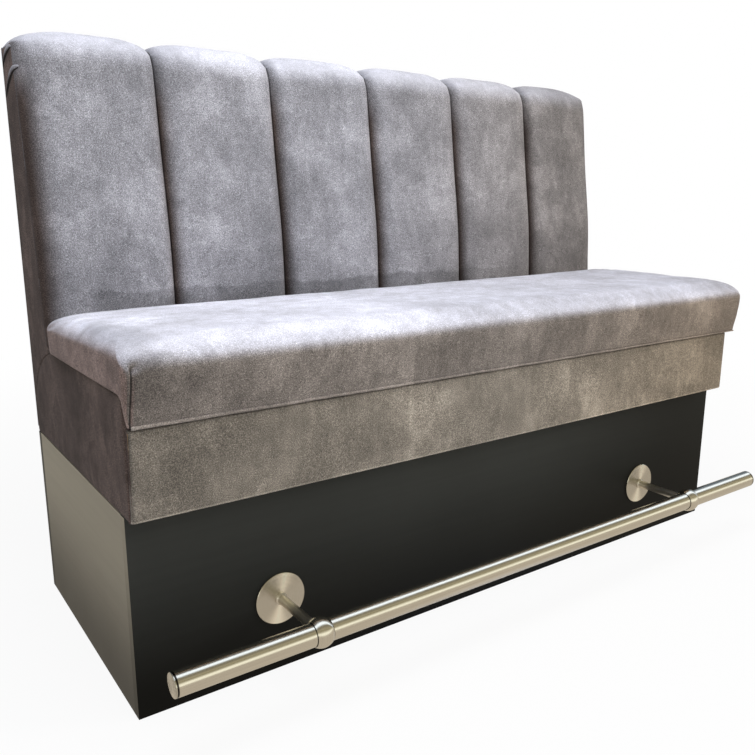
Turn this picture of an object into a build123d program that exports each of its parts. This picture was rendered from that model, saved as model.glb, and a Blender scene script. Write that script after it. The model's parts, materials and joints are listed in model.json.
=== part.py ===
from build123d import *
from math import atan2, cos, sin, tan
import os

# Bench seat for a bar or restaurant: a plinth box, an upholstered seat box, a drop-on seat pad,
# a raked back with sewn channels, and a tubular foot rail. Millimetres, +Z up, front towards -Y.
# The origin lies on the floor, at the middle of the plinth.

# Plinth of laminated board
PLINTH_LENGTH = 1500.0
PLINTH_DEPTH = 553.0
PLINTH_HEIGHT = 344.0
PLINTH_BOARD = 18.0
CORNER_BLOCK = 36.0
CORNER_BLOCK_HEIGHT = 250.0
TOP_HOLE_DIAMETER = 60.0

# Foot rail of brushed tube
RAIL_END_INSET = 12.0
RAIL_DIAMETER = 38.1
RAIL_WALL = 1.5
RAIL_REACH = 136.0
RAIL_HEIGHT = 134.0
POST_INSET = 257.0
POST_DIAMETER = 17.2
POST_FOOT_DIAMETER = 22.0
POST_FOOT_LENGTH = 5.0
BALL_DIAMETER = 50.0
BALL_SOCKET_DEPTH = 4.0
FLANGE_DIAMETER = 94.0
FLANGE_THICKNESS = 4.0
FLANGE_EDGE = 1.0
CAP_LIP = 1.5
CAP_EDGE = 0.5
CAP_PLUG_LENGTH = 16.0
SLIDING_CLEARANCE = 0.1
BACKING_SIZE = 120.0
BACKING_THICKNESS = 18.0
BOLT_DIAMETER = 10.0
BOLT_HEAD_ACROSS = 17.0
BOLT_HEAD_HEIGHT = 6.4
BOLT_ENGAGEMENT = 24.0
BOLT_HOLE_CLEARANCE = 0.5
WASHER_DIAMETER = 30.0
WASHER_THICKNESS = 2.5
GRUB_DIAMETER = 6.0
GRUB_POINT = 0.2

# Upholstered seat box
BOX_HEIGHT = 193.0
BOX_NOSE = 26.0
FRAME_BOARD = 18.0
THIN_BOARD = 12.0
COVER = 3.0
BOX_RIBS = 3
DECK_HOLE_DIAMETER = 32.0
DECK_HOLE_COLUMNS = 8
DECK_HOLE_ROWS_SHARE = 0.4
FASCIA_BOARD = 5.0
FASCIA_PADDING = 4.0
FASCIA_EDGE_RADIUS = 3.5
STRIP_WIDTH = 25.0
STRIP_THICKNESS = 2.0
STRIP_INSET = 120.0
STRIP_ROWS_SHARE = 0.7
BASE_SCREWS_PER_ROW = 4
BASE_SCREW_DIAMETER = 5.0
BASE_SCREW_LENGTH = 25.0
BASE_SCREW_HEAD = 10.0
BASE_SCREW_HEAD_DEPTH = 3.0
BASE_SCREW_INSET = 150.0
SCREW_HOLE_CLEARANCE = 0.2

# Drop-on seat pad
SEAT_THICKNESS = 67.7
SEAT_CROWN = 4.0
SEAT_OVERHANG_LEFT = 3.0
SEAT_OVERHANG_RIGHT = 28.0
SEAT_SIDE_BULGE = 5.0
SEAT_NOSE = 50.0
SEAT_LIP_NOSE = 40.0
SEAT_NOSE_RADIUS = 40.0
SEAT_SIDE_RADIUS = 26.0
SEAT_FRONT_CORNER = 15.0
SEAT_REAR_CORNER = 55.0
SEAT_REAR_RADIUS = 14.0
SEAT_COVER = 2.5
SEAT_BOARD = 15.0
SEAT_BOARD_HOLE = 25.0
SEAT_BOARD_COLUMNS = 7
SEAT_BOARD_ROWS_SHARE = 0.5
LIP_HEIGHT = 50.0
LIP_BOARD = 9.0
LIP_GAP = 1.5
LIP_EDGE_RADIUS = 6.0
PAD_CLEARANCE = 0.3

# Back
BACK_RISE = 505.0
BACK_FOOT_DEPTH = 136.0
BACK_TOP_DEPTH = 76.0
BACK_PLY = 9.0
BACK_REAR_BOARD = 12.0
BACK_UPRIGHTS = 4
BACK_TOP_PADDING = 32.0
UPRIGHT_HOLE_SHARE = 0.42
UPRIGHT_HOLE_SPACING = 130.0
UPRIGHT_HOLES = 3
UPRIGHT_FIRST_HOLE_SHARE = 0.75
BATTEN = 36.0
CHANNELS = 6
CHANNEL_GAP = 0.6
CHANNEL_PADDING = 36.0
CHANNEL_GROOVE = 17.0
CHANNEL_CORNER = 15.0
CHANNEL_SCALLOP = 10.0
CHANNEL_TOP_CORNER = 20.0
CHANNEL_FOOT_GAP = 4.0
CHANNEL_FOOT_RADIUS = 16.0
END_CORNER = 32.0
END_TOP_CORNER = 34.0
BACK_TOP_FRONT_RADIUS = 74.0
BACK_TOP_REAR_RADIUS = 28.0
SIDE_SEAM_DROP = 142.0
SIDE_SEAM_BEND_SHARES = (0.67, 0.36)
DUST_CLOTH = 1.0
DUST_CLOTH_MARGIN = 12.0
BACK_BOLT_DIAMETER = 8.0
BACK_BOLT_HEAD = 20.0
BACK_BOLT_HEAD_HEIGHT = 4.0
BACK_BOLT_INSET = 160.0
BACK_BOLTS = 4

# Extra length that takes a cutting or intersecting shape past the piece it shapes
OVERRUN = 100.0
# How far one outline of a padded form stands outside the outline that it crosses
OUTLINE_EASE = 0.2

# Main planes worked out from the sizes above
HALF_LENGTH = PLINTH_LENGTH / 2
FRONT = -PLINTH_DEPTH / 2
REAR = PLINTH_DEPTH / 2
RAIL_Y = FRONT - RAIL_REACH
RAIL_LENGTH = PLINTH_LENGTH - 2 * RAIL_END_INSET
BOX_TOP = PLINTH_HEIGHT + BOX_HEIGHT
BOX_FRONT = FRONT - BOX_NOSE
BOX_HALF = HALF_LENGTH - COVER
BOX_BASE_TOP = PLINTH_HEIGHT + THIN_BOARD
DECK_BOTTOM = BOX_TOP - THIN_BOARD
BACK_PANEL_FRONT = REAR - BACK_REAR_BOARD
BOX_REAR_BOARD_FRONT = BACK_PANEL_FRONT - FRAME_BOARD
PAD_BOTTOM = BOX_TOP + STRIP_THICKNESS + PAD_CLEARANCE
SEAT_BOARD_TOP = PAD_BOTTOM + SEAT_BOARD
SEAT_HEIGHT = PAD_BOTTOM + SEAT_THICKNESS
LIP_BOTTOM = PAD_BOTTOM - LIP_HEIGHT
FASCIA_HEIGHT = BOX_HEIGHT - LIP_HEIGHT
SEAT_LEFT = -HALF_LENGTH - SEAT_OVERHANG_LEFT
SEAT_RIGHT = HALF_LENGTH + SEAT_OVERHANG_RIGHT
SEAT_MIDDLE = (SEAT_LEFT + SEAT_RIGHT) / 2
SEAT_LENGTH = SEAT_RIGHT - SEAT_LEFT
BACK_HEIGHT = SEAT_HEIGHT + BACK_RISE
RAKE = atan2(BACK_FOOT_DEPTH - BACK_TOP_DEPTH, BACK_RISE)
TOP_RAIL_TOP = BACK_HEIGHT - BACK_TOP_PADDING
TOP_RAIL_BOTTOM = TOP_RAIL_TOP - FRAME_BOARD
CHANNEL_PITCH = PLINTH_LENGTH / CHANNELS

os.makedirs("parts", exist_ok=True)


def save(piece, label):
    """Name a finished piece and write it to its own file."""
    piece.part.label = label
    export_step(piece.part, f"parts/{label}.step")


def sheet_front(height):
    """Y of the front face of the raked sheet behind the channels, at a height."""
    return REAR - BACK_FOOT_DEPTH + (height - SEAT_HEIGHT) * tan(RAKE)


def sheet_rear(height):
    """Y of the rear face of the same sheet."""
    return sheet_front(height) + BACK_PLY / cos(RAKE)


def seat_rear(height):
    """Y of the seat pad's rear end, which follows the channels with a small clearance."""
    return sheet_front(height) - (CHANNEL_PADDING + PAD_CLEARANCE) / cos(RAKE)


def corner_at(sketch, across, up):
    """The vertex of a sketch that lies nearest to a place on its plane."""
    return sketch.vertices().sort_by_distance((across, up))[0]


def spread(count, span):
    """Evenly spaced centres, from one end of a span to the other, about zero."""
    return [span * (index / (count - 1) - 0.5) for index in range(count)]


# Plinth


RAIL_POSTS = spread(2, PLINTH_LENGTH - 2 * POST_INSET)
PLINTH_INSIDE = PLINTH_DEPTH - 2 * PLINTH_BOARD
PLINTH_TOP_BOTTOM = PLINTH_HEIGHT - PLINTH_BOARD
RAIL_BOLT_HOLE = BOLT_DIAMETER + 2 * BOLT_HOLE_CLEARANCE


def base_screw_places():
    """Places of the screws that hold the seat box down on the plinth."""
    return GridLocations(
        (PLINTH_LENGTH - 2 * BASE_SCREW_INSET) / (BASE_SCREWS_PER_ROW - 1),
        PLINTH_INSIDE - BASE_SCREW_INSET,
        BASE_SCREWS_PER_ROW,
        2,
    )


with BuildPart() as plinth_front_panel:
    with BuildSketch(Plane.XZ.offset(-FRONT)):
        with Locations((0, PLINTH_HEIGHT / 2)):
            Rectangle(PLINTH_LENGTH, PLINTH_HEIGHT)
        with Locations([(x, RAIL_HEIGHT) for x in RAIL_POSTS]):
            Circle(RAIL_BOLT_HOLE / 2, mode=Mode.SUBTRACT)
    extrude(amount=-PLINTH_BOARD)
save(plinth_front_panel, "plinth_front_panel")

with BuildPart() as plinth_rear_panel:
    with BuildSketch(Plane.XZ.offset(-REAR)):
        with Locations((0, PLINTH_HEIGHT / 2)):
            Rectangle(PLINTH_LENGTH, PLINTH_HEIGHT)
    extrude(amount=PLINTH_BOARD)
save(plinth_rear_panel, "plinth_rear_panel")

for side, name in ((-1, "left"), (1, "right")):
    with BuildPart() as plinth_end_panel:
        with BuildSketch():
            with Locations((side * (HALF_LENGTH - PLINTH_BOARD / 2), 0)):
                Rectangle(PLINTH_BOARD, PLINTH_INSIDE)
        extrude(amount=PLINTH_HEIGHT)
    save(plinth_end_panel, f"plinth_{name}_panel")

with BuildPart() as plinth_top_board:
    with BuildSketch(Plane.XY.offset(PLINTH_TOP_BOTTOM)):
        Rectangle(PLINTH_LENGTH - 2 * PLINTH_BOARD, PLINTH_INSIDE)
        with GridLocations(PLINTH_LENGTH / 2, PLINTH_DEPTH / 2, 2, 2):
            Circle(TOP_HOLE_DIAMETER / 2, mode=Mode.SUBTRACT)
        with base_screw_places():
            Circle(BASE_SCREW_DIAMETER / 2 + SLIDING_CLEARANCE, mode=Mode.SUBTRACT)
    extrude(amount=PLINTH_BOARD)
save(plinth_top_board, "plinth_top_board")

with BuildPart() as plinth_rib:
    with BuildSketch():
        Rectangle(PLINTH_BOARD, PLINTH_INSIDE)
    extrude(amount=PLINTH_TOP_BOTTOM)
save(plinth_rib, "plinth_rib")

with BuildPart() as plinth_corner_blocks:
    with BuildSketch():
        for x_side in (-1, 1):
            for y_side in (-1, 1):
                corner_x = x_side * (HALF_LENGTH - PLINTH_BOARD)
                corner_y = y_side * PLINTH_INSIDE / 2
                with BuildLine():
                    Polyline(
                        (corner_x, corner_y),
                        (corner_x - x_side * CORNER_BLOCK, corner_y),
                        (corner_x, corner_y - y_side * CORNER_BLOCK),
                        close=True,
                    )
                make_face()
    extrude(amount=CORNER_BLOCK_HEIGHT)
save(plinth_corner_blocks, "plinth_corner_blocks")


# Foot rail


TUBE_BORE = RAIL_DIAMETER - 2 * RAIL_WALL
FLANGE_FACE = FRONT - FLANGE_THICKNESS
BALL_SOCKET_Y = RAIL_Y + BALL_DIAMETER / 2 - BALL_SOCKET_DEPTH
BACKING_REAR = FRONT + PLINTH_BOARD + BACKING_THICKNESS
WASHER_REAR = BACKING_REAR + WASHER_THICKNESS
BOLT_TIP = FLANGE_FACE - BOLT_ENGAGEMENT
RAIL_AXIS_PLANE = Plane(origin=(0, RAIL_Y, RAIL_HEIGHT), x_dir=(0, 1, 0), z_dir=(1, 0, 0))

with BuildPart() as foot_rail_tube:
    with BuildSketch(RAIL_AXIS_PLANE):
        Circle(RAIL_DIAMETER / 2)
        Circle(TUBE_BORE / 2, mode=Mode.SUBTRACT)
    extrude(amount=RAIL_LENGTH / 2, both=True)
save(foot_rail_tube, "foot_rail_tube")

for side, name in ((-1, "left"), (1, "right")):
    end_plane = Plane(
        origin=(side * RAIL_LENGTH / 2, RAIL_Y, RAIL_HEIGHT), x_dir=(0, 1, 0), z_dir=(side, 0, 0)
    )
    with BuildPart() as rail_end_cap:
        with BuildSketch(end_plane):
            Circle(RAIL_DIAMETER / 2)
        extrude(amount=CAP_LIP)
        chamfer(rail_end_cap.faces().sort_by(Axis.X)[0 if side < 0 else -1].edges(), CAP_EDGE)
        with BuildSketch(end_plane):
            Circle(TUBE_BORE / 2 - SLIDING_CLEARANCE)
        extrude(amount=-CAP_PLUG_LENGTH)
    save(rail_end_cap, f"rail_end_cap_{name}")

for x, name in zip(RAIL_POSTS, ("left", "right")):
    with BuildPart() as rail_ball:
        with Locations((x, RAIL_Y, RAIL_HEIGHT)):
            Sphere(BALL_DIAMETER / 2)
            Cylinder(
                RAIL_DIAMETER / 2 + SLIDING_CLEARANCE, BALL_DIAMETER,
                rotation=(0, 90, 0), mode=Mode.SUBTRACT,
            )
        with BuildSketch(Plane.XZ.offset(-BALL_SOCKET_Y)):
            with Locations((x, RAIL_HEIGHT)):
                Circle(POST_DIAMETER / 2 + SLIDING_CLEARANCE)
        extrude(amount=-BALL_DIAMETER, mode=Mode.SUBTRACT)
        with BuildSketch(Plane.XY.offset(RAIL_HEIGHT - BALL_DIAMETER)):
            with Locations((x, RAIL_Y)):
                Circle(GRUB_DIAMETER / 2 + SLIDING_CLEARANCE)
        extrude(amount=BALL_DIAMETER, mode=Mode.SUBTRACT)
    save(rail_ball, f"rail_ball_{name}")

    with BuildPart() as rail_post:
        with BuildSketch(Plane.XY.offset(RAIL_HEIGHT)):
            with BuildLine():
                Polyline(
                    (x, FLANGE_FACE),
                    (x + POST_FOOT_DIAMETER / 2, FLANGE_FACE),
                    (x + POST_FOOT_DIAMETER / 2, FLANGE_FACE - POST_FOOT_LENGTH / 2),
                    (x + POST_DIAMETER / 2, FLANGE_FACE - POST_FOOT_LENGTH),
                    (x + POST_DIAMETER / 2, BALL_SOCKET_Y),
                    (x, BALL_SOCKET_Y),
                    close=True,
                )
            make_face()
        revolve(axis=Axis((x, FLANGE_FACE, RAIL_HEIGHT), (0, 1, 0)))
        with BuildSketch(Plane.XZ.offset(-FLANGE_FACE)):
            with Locations((x, RAIL_HEIGHT)):
                Circle(BOLT_DIAMETER / 2 + SLIDING_CLEARANCE)
        extrude(amount=BOLT_ENGAGEMENT, mode=Mode.SUBTRACT)
    save(rail_post, f"rail_post_{name}")

    with BuildPart() as rail_flange:
        with BuildSketch(Plane.XZ.offset(-FRONT)):
            with Locations((x, RAIL_HEIGHT)):
                Circle(FLANGE_DIAMETER / 2)
                Circle(RAIL_BOLT_HOLE / 2, mode=Mode.SUBTRACT)
        extrude(amount=FLANGE_THICKNESS)
        rim = rail_flange.faces().sort_by(Axis.Y)[0].edges().sort_by(SortBy.RADIUS)[-1]
        chamfer(rim, FLANGE_EDGE)
    save(rail_flange, f"rail_flange_{name}")

    with BuildPart() as rail_backing:
        with BuildSketch(Plane.XZ.offset(-BACKING_REAR)):
            with Locations((x, RAIL_HEIGHT)):
                Rectangle(BACKING_SIZE, BACKING_SIZE)
                Circle(RAIL_BOLT_HOLE / 2, mode=Mode.SUBTRACT)
        extrude(amount=BACKING_THICKNESS)
    save(rail_backing, f"rail_backing_{name}")

with BuildPart() as rail_washers:
    with BuildSketch(Plane.XZ.offset(-WASHER_REAR)):
        with Locations([(x, RAIL_HEIGHT) for x in RAIL_POSTS]):
            Circle(WASHER_DIAMETER / 2)
            Circle(RAIL_BOLT_HOLE / 2, mode=Mode.SUBTRACT)
    extrude(amount=WASHER_THICKNESS)
save(rail_washers, "rail_washers")

with BuildPart() as rail_bolts:
    with BuildSketch(Plane.XZ.offset(-WASHER_REAR)):
        with Locations([(x, RAIL_HEIGHT) for x in RAIL_POSTS]):
            Circle(BOLT_DIAMETER / 2)
    extrude(amount=WASHER_REAR - BOLT_TIP)
    with BuildSketch(Plane.XZ.offset(-WASHER_REAR)):
        with Locations([(x, RAIL_HEIGHT) for x in RAIL_POSTS]):
            RegularPolygon(BOLT_HEAD_ACROSS / 2, 6, major_radius=False)
    extrude(amount=-BOLT_HEAD_HEIGHT)
save(rail_bolts, "rail_bolts")

with BuildPart() as rail_grub_screws:
    with BuildSketch(Plane.XY.offset(RAIL_HEIGHT - RAIL_DIAMETER / 2 - GRUB_POINT)):
        with Locations([(x, RAIL_Y) for x in RAIL_POSTS]):
            Circle(GRUB_DIAMETER / 2)
    extrude(amount=-(BALL_DIAMETER - RAIL_DIAMETER) / 2)
save(rail_grub_screws, "rail_grub_screws")


# Seat box


BOX_SIDE_FRONT = BOX_FRONT + COVER
BOX_INSIDE_HALF = BOX_HALF - FRAME_BOARD
BOX_FRONT_BOARD_REAR = BOX_FRONT + FRAME_BOARD
BACK_BOLT_HEIGHT = (BOX_BASE_TOP + BOX_TOP) / 2
BACK_BOLT_PLACES = [
    (x, BACK_BOLT_HEIGHT) for x in spread(BACK_BOLTS, PLINTH_LENGTH - 2 * BACK_BOLT_INSET)
]
DECK_MIDDLE = (BOX_FRONT_BOARD_REAR + seat_rear(BOX_TOP)) / 2
DECK_DEPTH = seat_rear(BOX_TOP) - BOX_FRONT_BOARD_REAR
SIDE_SEAM_TOP = seat_rear(PAD_BOTTOM)
SIDE_SEAM_BOTTOM = BOX_TOP - SIDE_SEAM_DROP
SIDE_SEAM_BEND = (
    SIDE_SEAM_TOP + (REAR - SIDE_SEAM_TOP) * SIDE_SEAM_BEND_SHARES[0],
    BOX_TOP - SIDE_SEAM_DROP * SIDE_SEAM_BEND_SHARES[1],
)


def side_seam():
    """The curved seam between the covers of the seat box and of the back, in a side view."""
    return ThreePointArc((SIDE_SEAM_TOP, BOX_TOP), SIDE_SEAM_BEND, (REAR, SIDE_SEAM_BOTTOM))


with BuildPart() as box_base_board:
    with BuildSketch(Plane.XY.offset(PLINTH_HEIGHT)):
        with Locations((0, (BOX_FRONT + BACK_PANEL_FRONT) / 2)):
            Rectangle(2 * BOX_HALF, BACK_PANEL_FRONT - BOX_FRONT)
        with base_screw_places():
            Circle(BASE_SCREW_DIAMETER / 2 + SCREW_HOLE_CLEARANCE, mode=Mode.SUBTRACT)
    extrude(amount=THIN_BOARD)
save(box_base_board, "box_base_board")

with BuildPart() as box_front_board:
    with BuildSketch(Plane.XY.offset(BOX_BASE_TOP)):
        with Locations((0, BOX_FRONT + FRAME_BOARD / 2)):
            Rectangle(2 * BOX_INSIDE_HALF, FRAME_BOARD)
    extrude(amount=BOX_TOP - BOX_BASE_TOP)
save(box_front_board, "box_front_board")

with BuildPart() as box_rear_board:
    with BuildSketch(Plane.XZ.offset(-BACK_PANEL_FRONT)):
        with Locations((0, BACK_BOLT_HEIGHT)):
            Rectangle(2 * BOX_INSIDE_HALF, BOX_TOP - BOX_BASE_TOP)
        with Locations(BACK_BOLT_PLACES):
            Circle(BACK_BOLT_DIAMETER / 2 + SLIDING_CLEARANCE, mode=Mode.SUBTRACT)
    extrude(amount=FRAME_BOARD)
save(box_rear_board, "box_rear_board")

for side, name in ((-1, "left"), (1, "right")):
    with BuildPart() as box_side_board:
        with BuildSketch(Plane.XY.offset(BOX_BASE_TOP)):
            with Locations((side * (BOX_HALF - FRAME_BOARD / 2), (BOX_SIDE_FRONT + BACK_PANEL_FRONT) / 2)):
                Rectangle(FRAME_BOARD, BACK_PANEL_FRONT - BOX_SIDE_FRONT)
        extrude(amount=BOX_TOP - BOX_BASE_TOP)
    save(box_side_board, f"box_{name}_board")

for index, x in enumerate(spread(BOX_RIBS, PLINTH_LENGTH / 2)):
    with BuildPart() as box_rib:
        with BuildSketch(Plane.XY.offset(BOX_BASE_TOP)):
            with Locations((x, (BOX_FRONT_BOARD_REAR + BOX_REAR_BOARD_FRONT) / 2)):
                Rectangle(FRAME_BOARD, BOX_REAR_BOARD_FRONT - BOX_FRONT_BOARD_REAR)
        extrude(amount=DECK_BOTTOM - BOX_BASE_TOP)
    save(box_rib, f"box_rib_{index + 1}")

with BuildPart() as box_deck:
    with BuildSketch(Plane.XY.offset(DECK_BOTTOM)):
        with Locations((0, (BOX_FRONT_BOARD_REAR + BOX_REAR_BOARD_FRONT) / 2)):
            Rectangle(2 * BOX_INSIDE_HALF, BOX_REAR_BOARD_FRONT - BOX_FRONT_BOARD_REAR)
        with Locations((0, DECK_MIDDLE)):
            with GridLocations(
                PLINTH_LENGTH / (DECK_HOLE_COLUMNS + 1), DECK_DEPTH * DECK_HOLE_ROWS_SHARE,
                DECK_HOLE_COLUMNS, 2,
            ):
                Circle(DECK_HOLE_DIAMETER / 2, mode=Mode.SUBTRACT)
    extrude(amount=THIN_BOARD)
save(box_deck, "box_deck")

with BuildPart() as box_screws:
    with BuildSketch(Plane.XY.offset(BOX_BASE_TOP)):
        with base_screw_places():
            Circle(BASE_SCREW_DIAMETER / 2)
    extrude(amount=-BASE_SCREW_LENGTH)
    with BuildSketch(Plane.XY.offset(BOX_BASE_TOP)):
        with base_screw_places():
            Circle(BASE_SCREW_HEAD / 2)
    extrude(amount=BASE_SCREW_HEAD_DEPTH)
save(box_screws, "box_screws")

for side, name in ((-1, "left"), (1, "right")):
    outer = side * HALF_LENGTH
    with BuildPart() as box_side_cover:
        with BuildSketch(Plane.YZ.offset(outer)):
            with BuildLine():
                Line((BOX_FRONT, BOX_TOP), (BOX_FRONT, PLINTH_HEIGHT))
                Line((BOX_FRONT, PLINTH_HEIGHT), (REAR, PLINTH_HEIGHT))
                Line((REAR, PLINTH_HEIGHT), (REAR, SIDE_SEAM_BOTTOM))
                side_seam()
                Line((SIDE_SEAM_TOP, BOX_TOP), (BOX_FRONT, BOX_TOP))
            make_face()
        extrude(amount=-side * COVER)
        with BuildSketch(Plane.XY.offset(BOX_BASE_TOP)):
            with Locations((side * (BOX_HALF - FRAME_BOARD / 2), BOX_FRONT + COVER / 2)):
                Rectangle(FRAME_BOARD, COVER)
        extrude(amount=BOX_TOP - BOX_BASE_TOP)
    save(box_side_cover, f"box_side_cover_{name}")

with BuildPart() as fascia_board:
    with BuildSketch(Plane.XZ.offset(-BOX_FRONT)):
        with Locations((0, PLINTH_HEIGHT + FASCIA_HEIGHT / 2)):
            Rectangle(PLINTH_LENGTH - 2 * FASCIA_PADDING, FASCIA_HEIGHT - 2 * FASCIA_PADDING)
    extrude(amount=FASCIA_BOARD)
save(fascia_board, "fascia_board")

with BuildPart() as fascia_cover:
    with BuildSketch(Plane.XZ.offset(-BOX_FRONT)):
        with Locations((0, PLINTH_HEIGHT + FASCIA_HEIGHT / 2)):
            Rectangle(PLINTH_LENGTH, FASCIA_HEIGHT)
    extrude(amount=FASCIA_BOARD + FASCIA_PADDING)
    fillet(fascia_cover.faces().sort_by(Axis.Y)[0].edges(), FASCIA_EDGE_RADIUS)
    add(fascia_board.part, mode=Mode.SUBTRACT)
save(fascia_cover, "fascia_cover")

with BuildPart() as seat_grip_strips:
    with BuildSketch(Plane.XY.offset(BOX_TOP)):
        with Locations((0, DECK_MIDDLE)):
            with GridLocations(0, DECK_DEPTH * STRIP_ROWS_SHARE, 1, 2):
                Rectangle(PLINTH_LENGTH - 2 * STRIP_INSET, STRIP_WIDTH)
    extrude(amount=STRIP_THICKNESS)
save(seat_grip_strips, "seat_grip_strips")


# Drop-on seat pad


LIP_REAR = BOX_FRONT - LIP_GAP


def seat_form(inset):
    """The crowned pad with its front lip, drawn in evenly by an inset."""
    top = SEAT_HEIGHT - inset
    nose = FRONT - SEAT_NOSE + inset
    lip_nose = FRONT - SEAT_LIP_NOSE + inset
    lip_bottom = LIP_BOTTOM + inset
    rear_top = seat_rear(top) - inset
    rear_bottom = seat_rear(PAD_BOTTOM) - inset
    with BuildPart() as form:
        with BuildSketch(Plane.YZ) as side_view:
            with BuildLine():
                Polyline(
                    (rear_bottom, PAD_BOTTOM),
                    (LIP_REAR, PAD_BOTTOM),
                    (LIP_REAR, lip_bottom),
                    (lip_nose, lip_bottom),
                    (nose, PAD_BOTTOM),
                    (nose, top),
                )
                ThreePointArc((nose, top), ((nose + rear_top) / 2, top + SEAT_CROWN), (rear_top, top))
                Line((rear_top, top), (rear_bottom, PAD_BOTTOM))
            make_face()
            fillet(corner_at(side_view, rear_top, top), SEAT_REAR_RADIUS - inset)
            fillet(corner_at(side_view, lip_nose, lip_bottom), LIP_EDGE_RADIUS - inset)
            fillet(corner_at(side_view, nose, top), SEAT_NOSE_RADIUS - inset)
        extrude(amount=SEAT_RIGHT + OVERRUN, both=True)
        with BuildSketch(Plane.XZ) as front_view:
            with BuildLine():
                left = SEAT_LEFT + inset
                right = SEAT_RIGHT - inset
                high = SEAT_HEIGHT + SEAT_CROWN - inset
                bulge_height = (PAD_BOTTOM + high) / 2
                ThreePointArc((left, high), (left - SEAT_SIDE_BULGE, bulge_height), (left, LIP_BOTTOM))
                Line((left, LIP_BOTTOM), (right, LIP_BOTTOM))
                ThreePointArc((right, LIP_BOTTOM), (right + SEAT_SIDE_BULGE, bulge_height), (right, high))
                Line((right, high), (left, high))
            make_face()
            fillet(front_view.vertices().group_by(Axis.Y)[-1], SEAT_SIDE_RADIUS - inset)
        extrude(amount=PLINTH_DEPTH, both=True, mode=Mode.INTERSECT)
        with BuildSketch(Plane.XY) as plan:
            with Locations((SEAT_MIDDLE, (nose + rear_top) / 2)):
                Rectangle(
                    SEAT_LENGTH + 2 * (SEAT_SIDE_BULGE + OUTLINE_EASE - inset),
                    rear_top - nose + 2 * OUTLINE_EASE,
                )
            fillet(plan.vertices().group_by(Axis.Y)[0], SEAT_FRONT_CORNER - inset)
            fillet(plan.vertices().group_by(Axis.Y)[-1], SEAT_REAR_CORNER - inset)
        extrude(amount=BACK_HEIGHT, mode=Mode.INTERSECT)
    return form.part


BOARD_INSET = SEAT_COVER + SEAT_FRONT_CORNER
SEAT_BOARD_REAR = seat_rear(PAD_BOTTOM) - SEAT_COVER - PAD_CLEARANCE

with BuildPart() as seat_board:
    with BuildSketch(Plane.XY.offset(PAD_BOTTOM)) as board_outline:
        with Locations((SEAT_MIDDLE, (LIP_REAR + SEAT_BOARD_REAR) / 2)):
            Rectangle(SEAT_LENGTH - 2 * BOARD_INSET, SEAT_BOARD_REAR - LIP_REAR)
            fillet(board_outline.vertices().group_by(Axis.Y)[-1], SEAT_REAR_CORNER - BOARD_INSET / 2)
            with GridLocations(
                SEAT_LENGTH / (SEAT_BOARD_COLUMNS + 1),
                (SEAT_BOARD_REAR - LIP_REAR) * SEAT_BOARD_ROWS_SHARE,
                SEAT_BOARD_COLUMNS, 2,
            ):
                Circle(SEAT_BOARD_HOLE / 2, mode=Mode.SUBTRACT)
    extrude(amount=SEAT_BOARD)
save(seat_board, "seat_board")

with BuildPart() as seat_lip_board:
    with BuildSketch(Plane.XZ.offset(-LIP_REAR)):
        with Locations((SEAT_MIDDLE, (LIP_BOTTOM + SEAT_COVER + SEAT_BOARD_TOP) / 2)):
            Rectangle(SEAT_LENGTH - 2 * BOARD_INSET, SEAT_BOARD_TOP - LIP_BOTTOM - SEAT_COVER)
    extrude(amount=LIP_BOARD)
save(seat_lip_board, "seat_lip_board")

with BuildPart() as seat_lip_pad:
    add(seat_form(0))
    split(bisect_by=Plane.XY.offset(PAD_BOTTOM), keep=Keep.BOTTOM)
    add(seat_lip_board.part, mode=Mode.SUBTRACT)
save(seat_lip_pad, "seat_lip_pad")

with BuildPart() as seat_foam:
    add(seat_form(SEAT_COVER + PAD_CLEARANCE))
    split(bisect_by=Plane.XY.offset(PAD_BOTTOM), keep=Keep.TOP)
    add(seat_lip_board.part, mode=Mode.SUBTRACT)
    with BuildSketch(Plane.XY.offset(PAD_BOTTOM)):
        with Locations((SEAT_MIDDLE, (LIP_REAR + REAR) / 2)):
            Rectangle(SEAT_LENGTH + OVERRUN, REAR - LIP_REAR)
    extrude(amount=SEAT_BOARD, mode=Mode.SUBTRACT)
save(seat_foam, "seat_foam")

with BuildPart() as seat_cover:
    add(seat_form(0))
    split(bisect_by=Plane.XY.offset(PAD_BOTTOM), keep=Keep.TOP)
    add(seat_form(SEAT_COVER), mode=Mode.SUBTRACT)
save(seat_cover, "seat_cover")


# Back frame


UPRIGHT_HALF_SPAN = BOX_HALF - FRAME_BOARD / 2
UPRIGHT_XS = spread(BACK_UPRIGHTS, 2 * UPRIGHT_HALF_SPAN)

for index, x in enumerate(UPRIGHT_XS):
    with BuildPart() as back_upright:
        with BuildSketch(Plane.YZ.offset(x - FRAME_BOARD / 2)):
            with BuildLine():
                Polyline(
                    (sheet_rear(BOX_TOP), BOX_TOP),
                    (BACK_PANEL_FRONT, BOX_TOP),
                    (BACK_PANEL_FRONT, TOP_RAIL_BOTTOM),
                    (sheet_rear(TOP_RAIL_BOTTOM), TOP_RAIL_BOTTOM),
                    close=True,
                )
            make_face()
            for hole in range(UPRIGHT_HOLES):
                height = BOX_TOP + (hole + UPRIGHT_FIRST_HOLE_SHARE) * UPRIGHT_HOLE_SPACING
                depth = BACK_PANEL_FRONT - sheet_rear(height)
                with Locations((sheet_rear(height) + depth / 2, height)):
                    Circle(depth * UPRIGHT_HOLE_SHARE / 2, mode=Mode.SUBTRACT)
        extrude(amount=FRAME_BOARD)
    save(back_upright, f"back_upright_{index + 1}")

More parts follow.
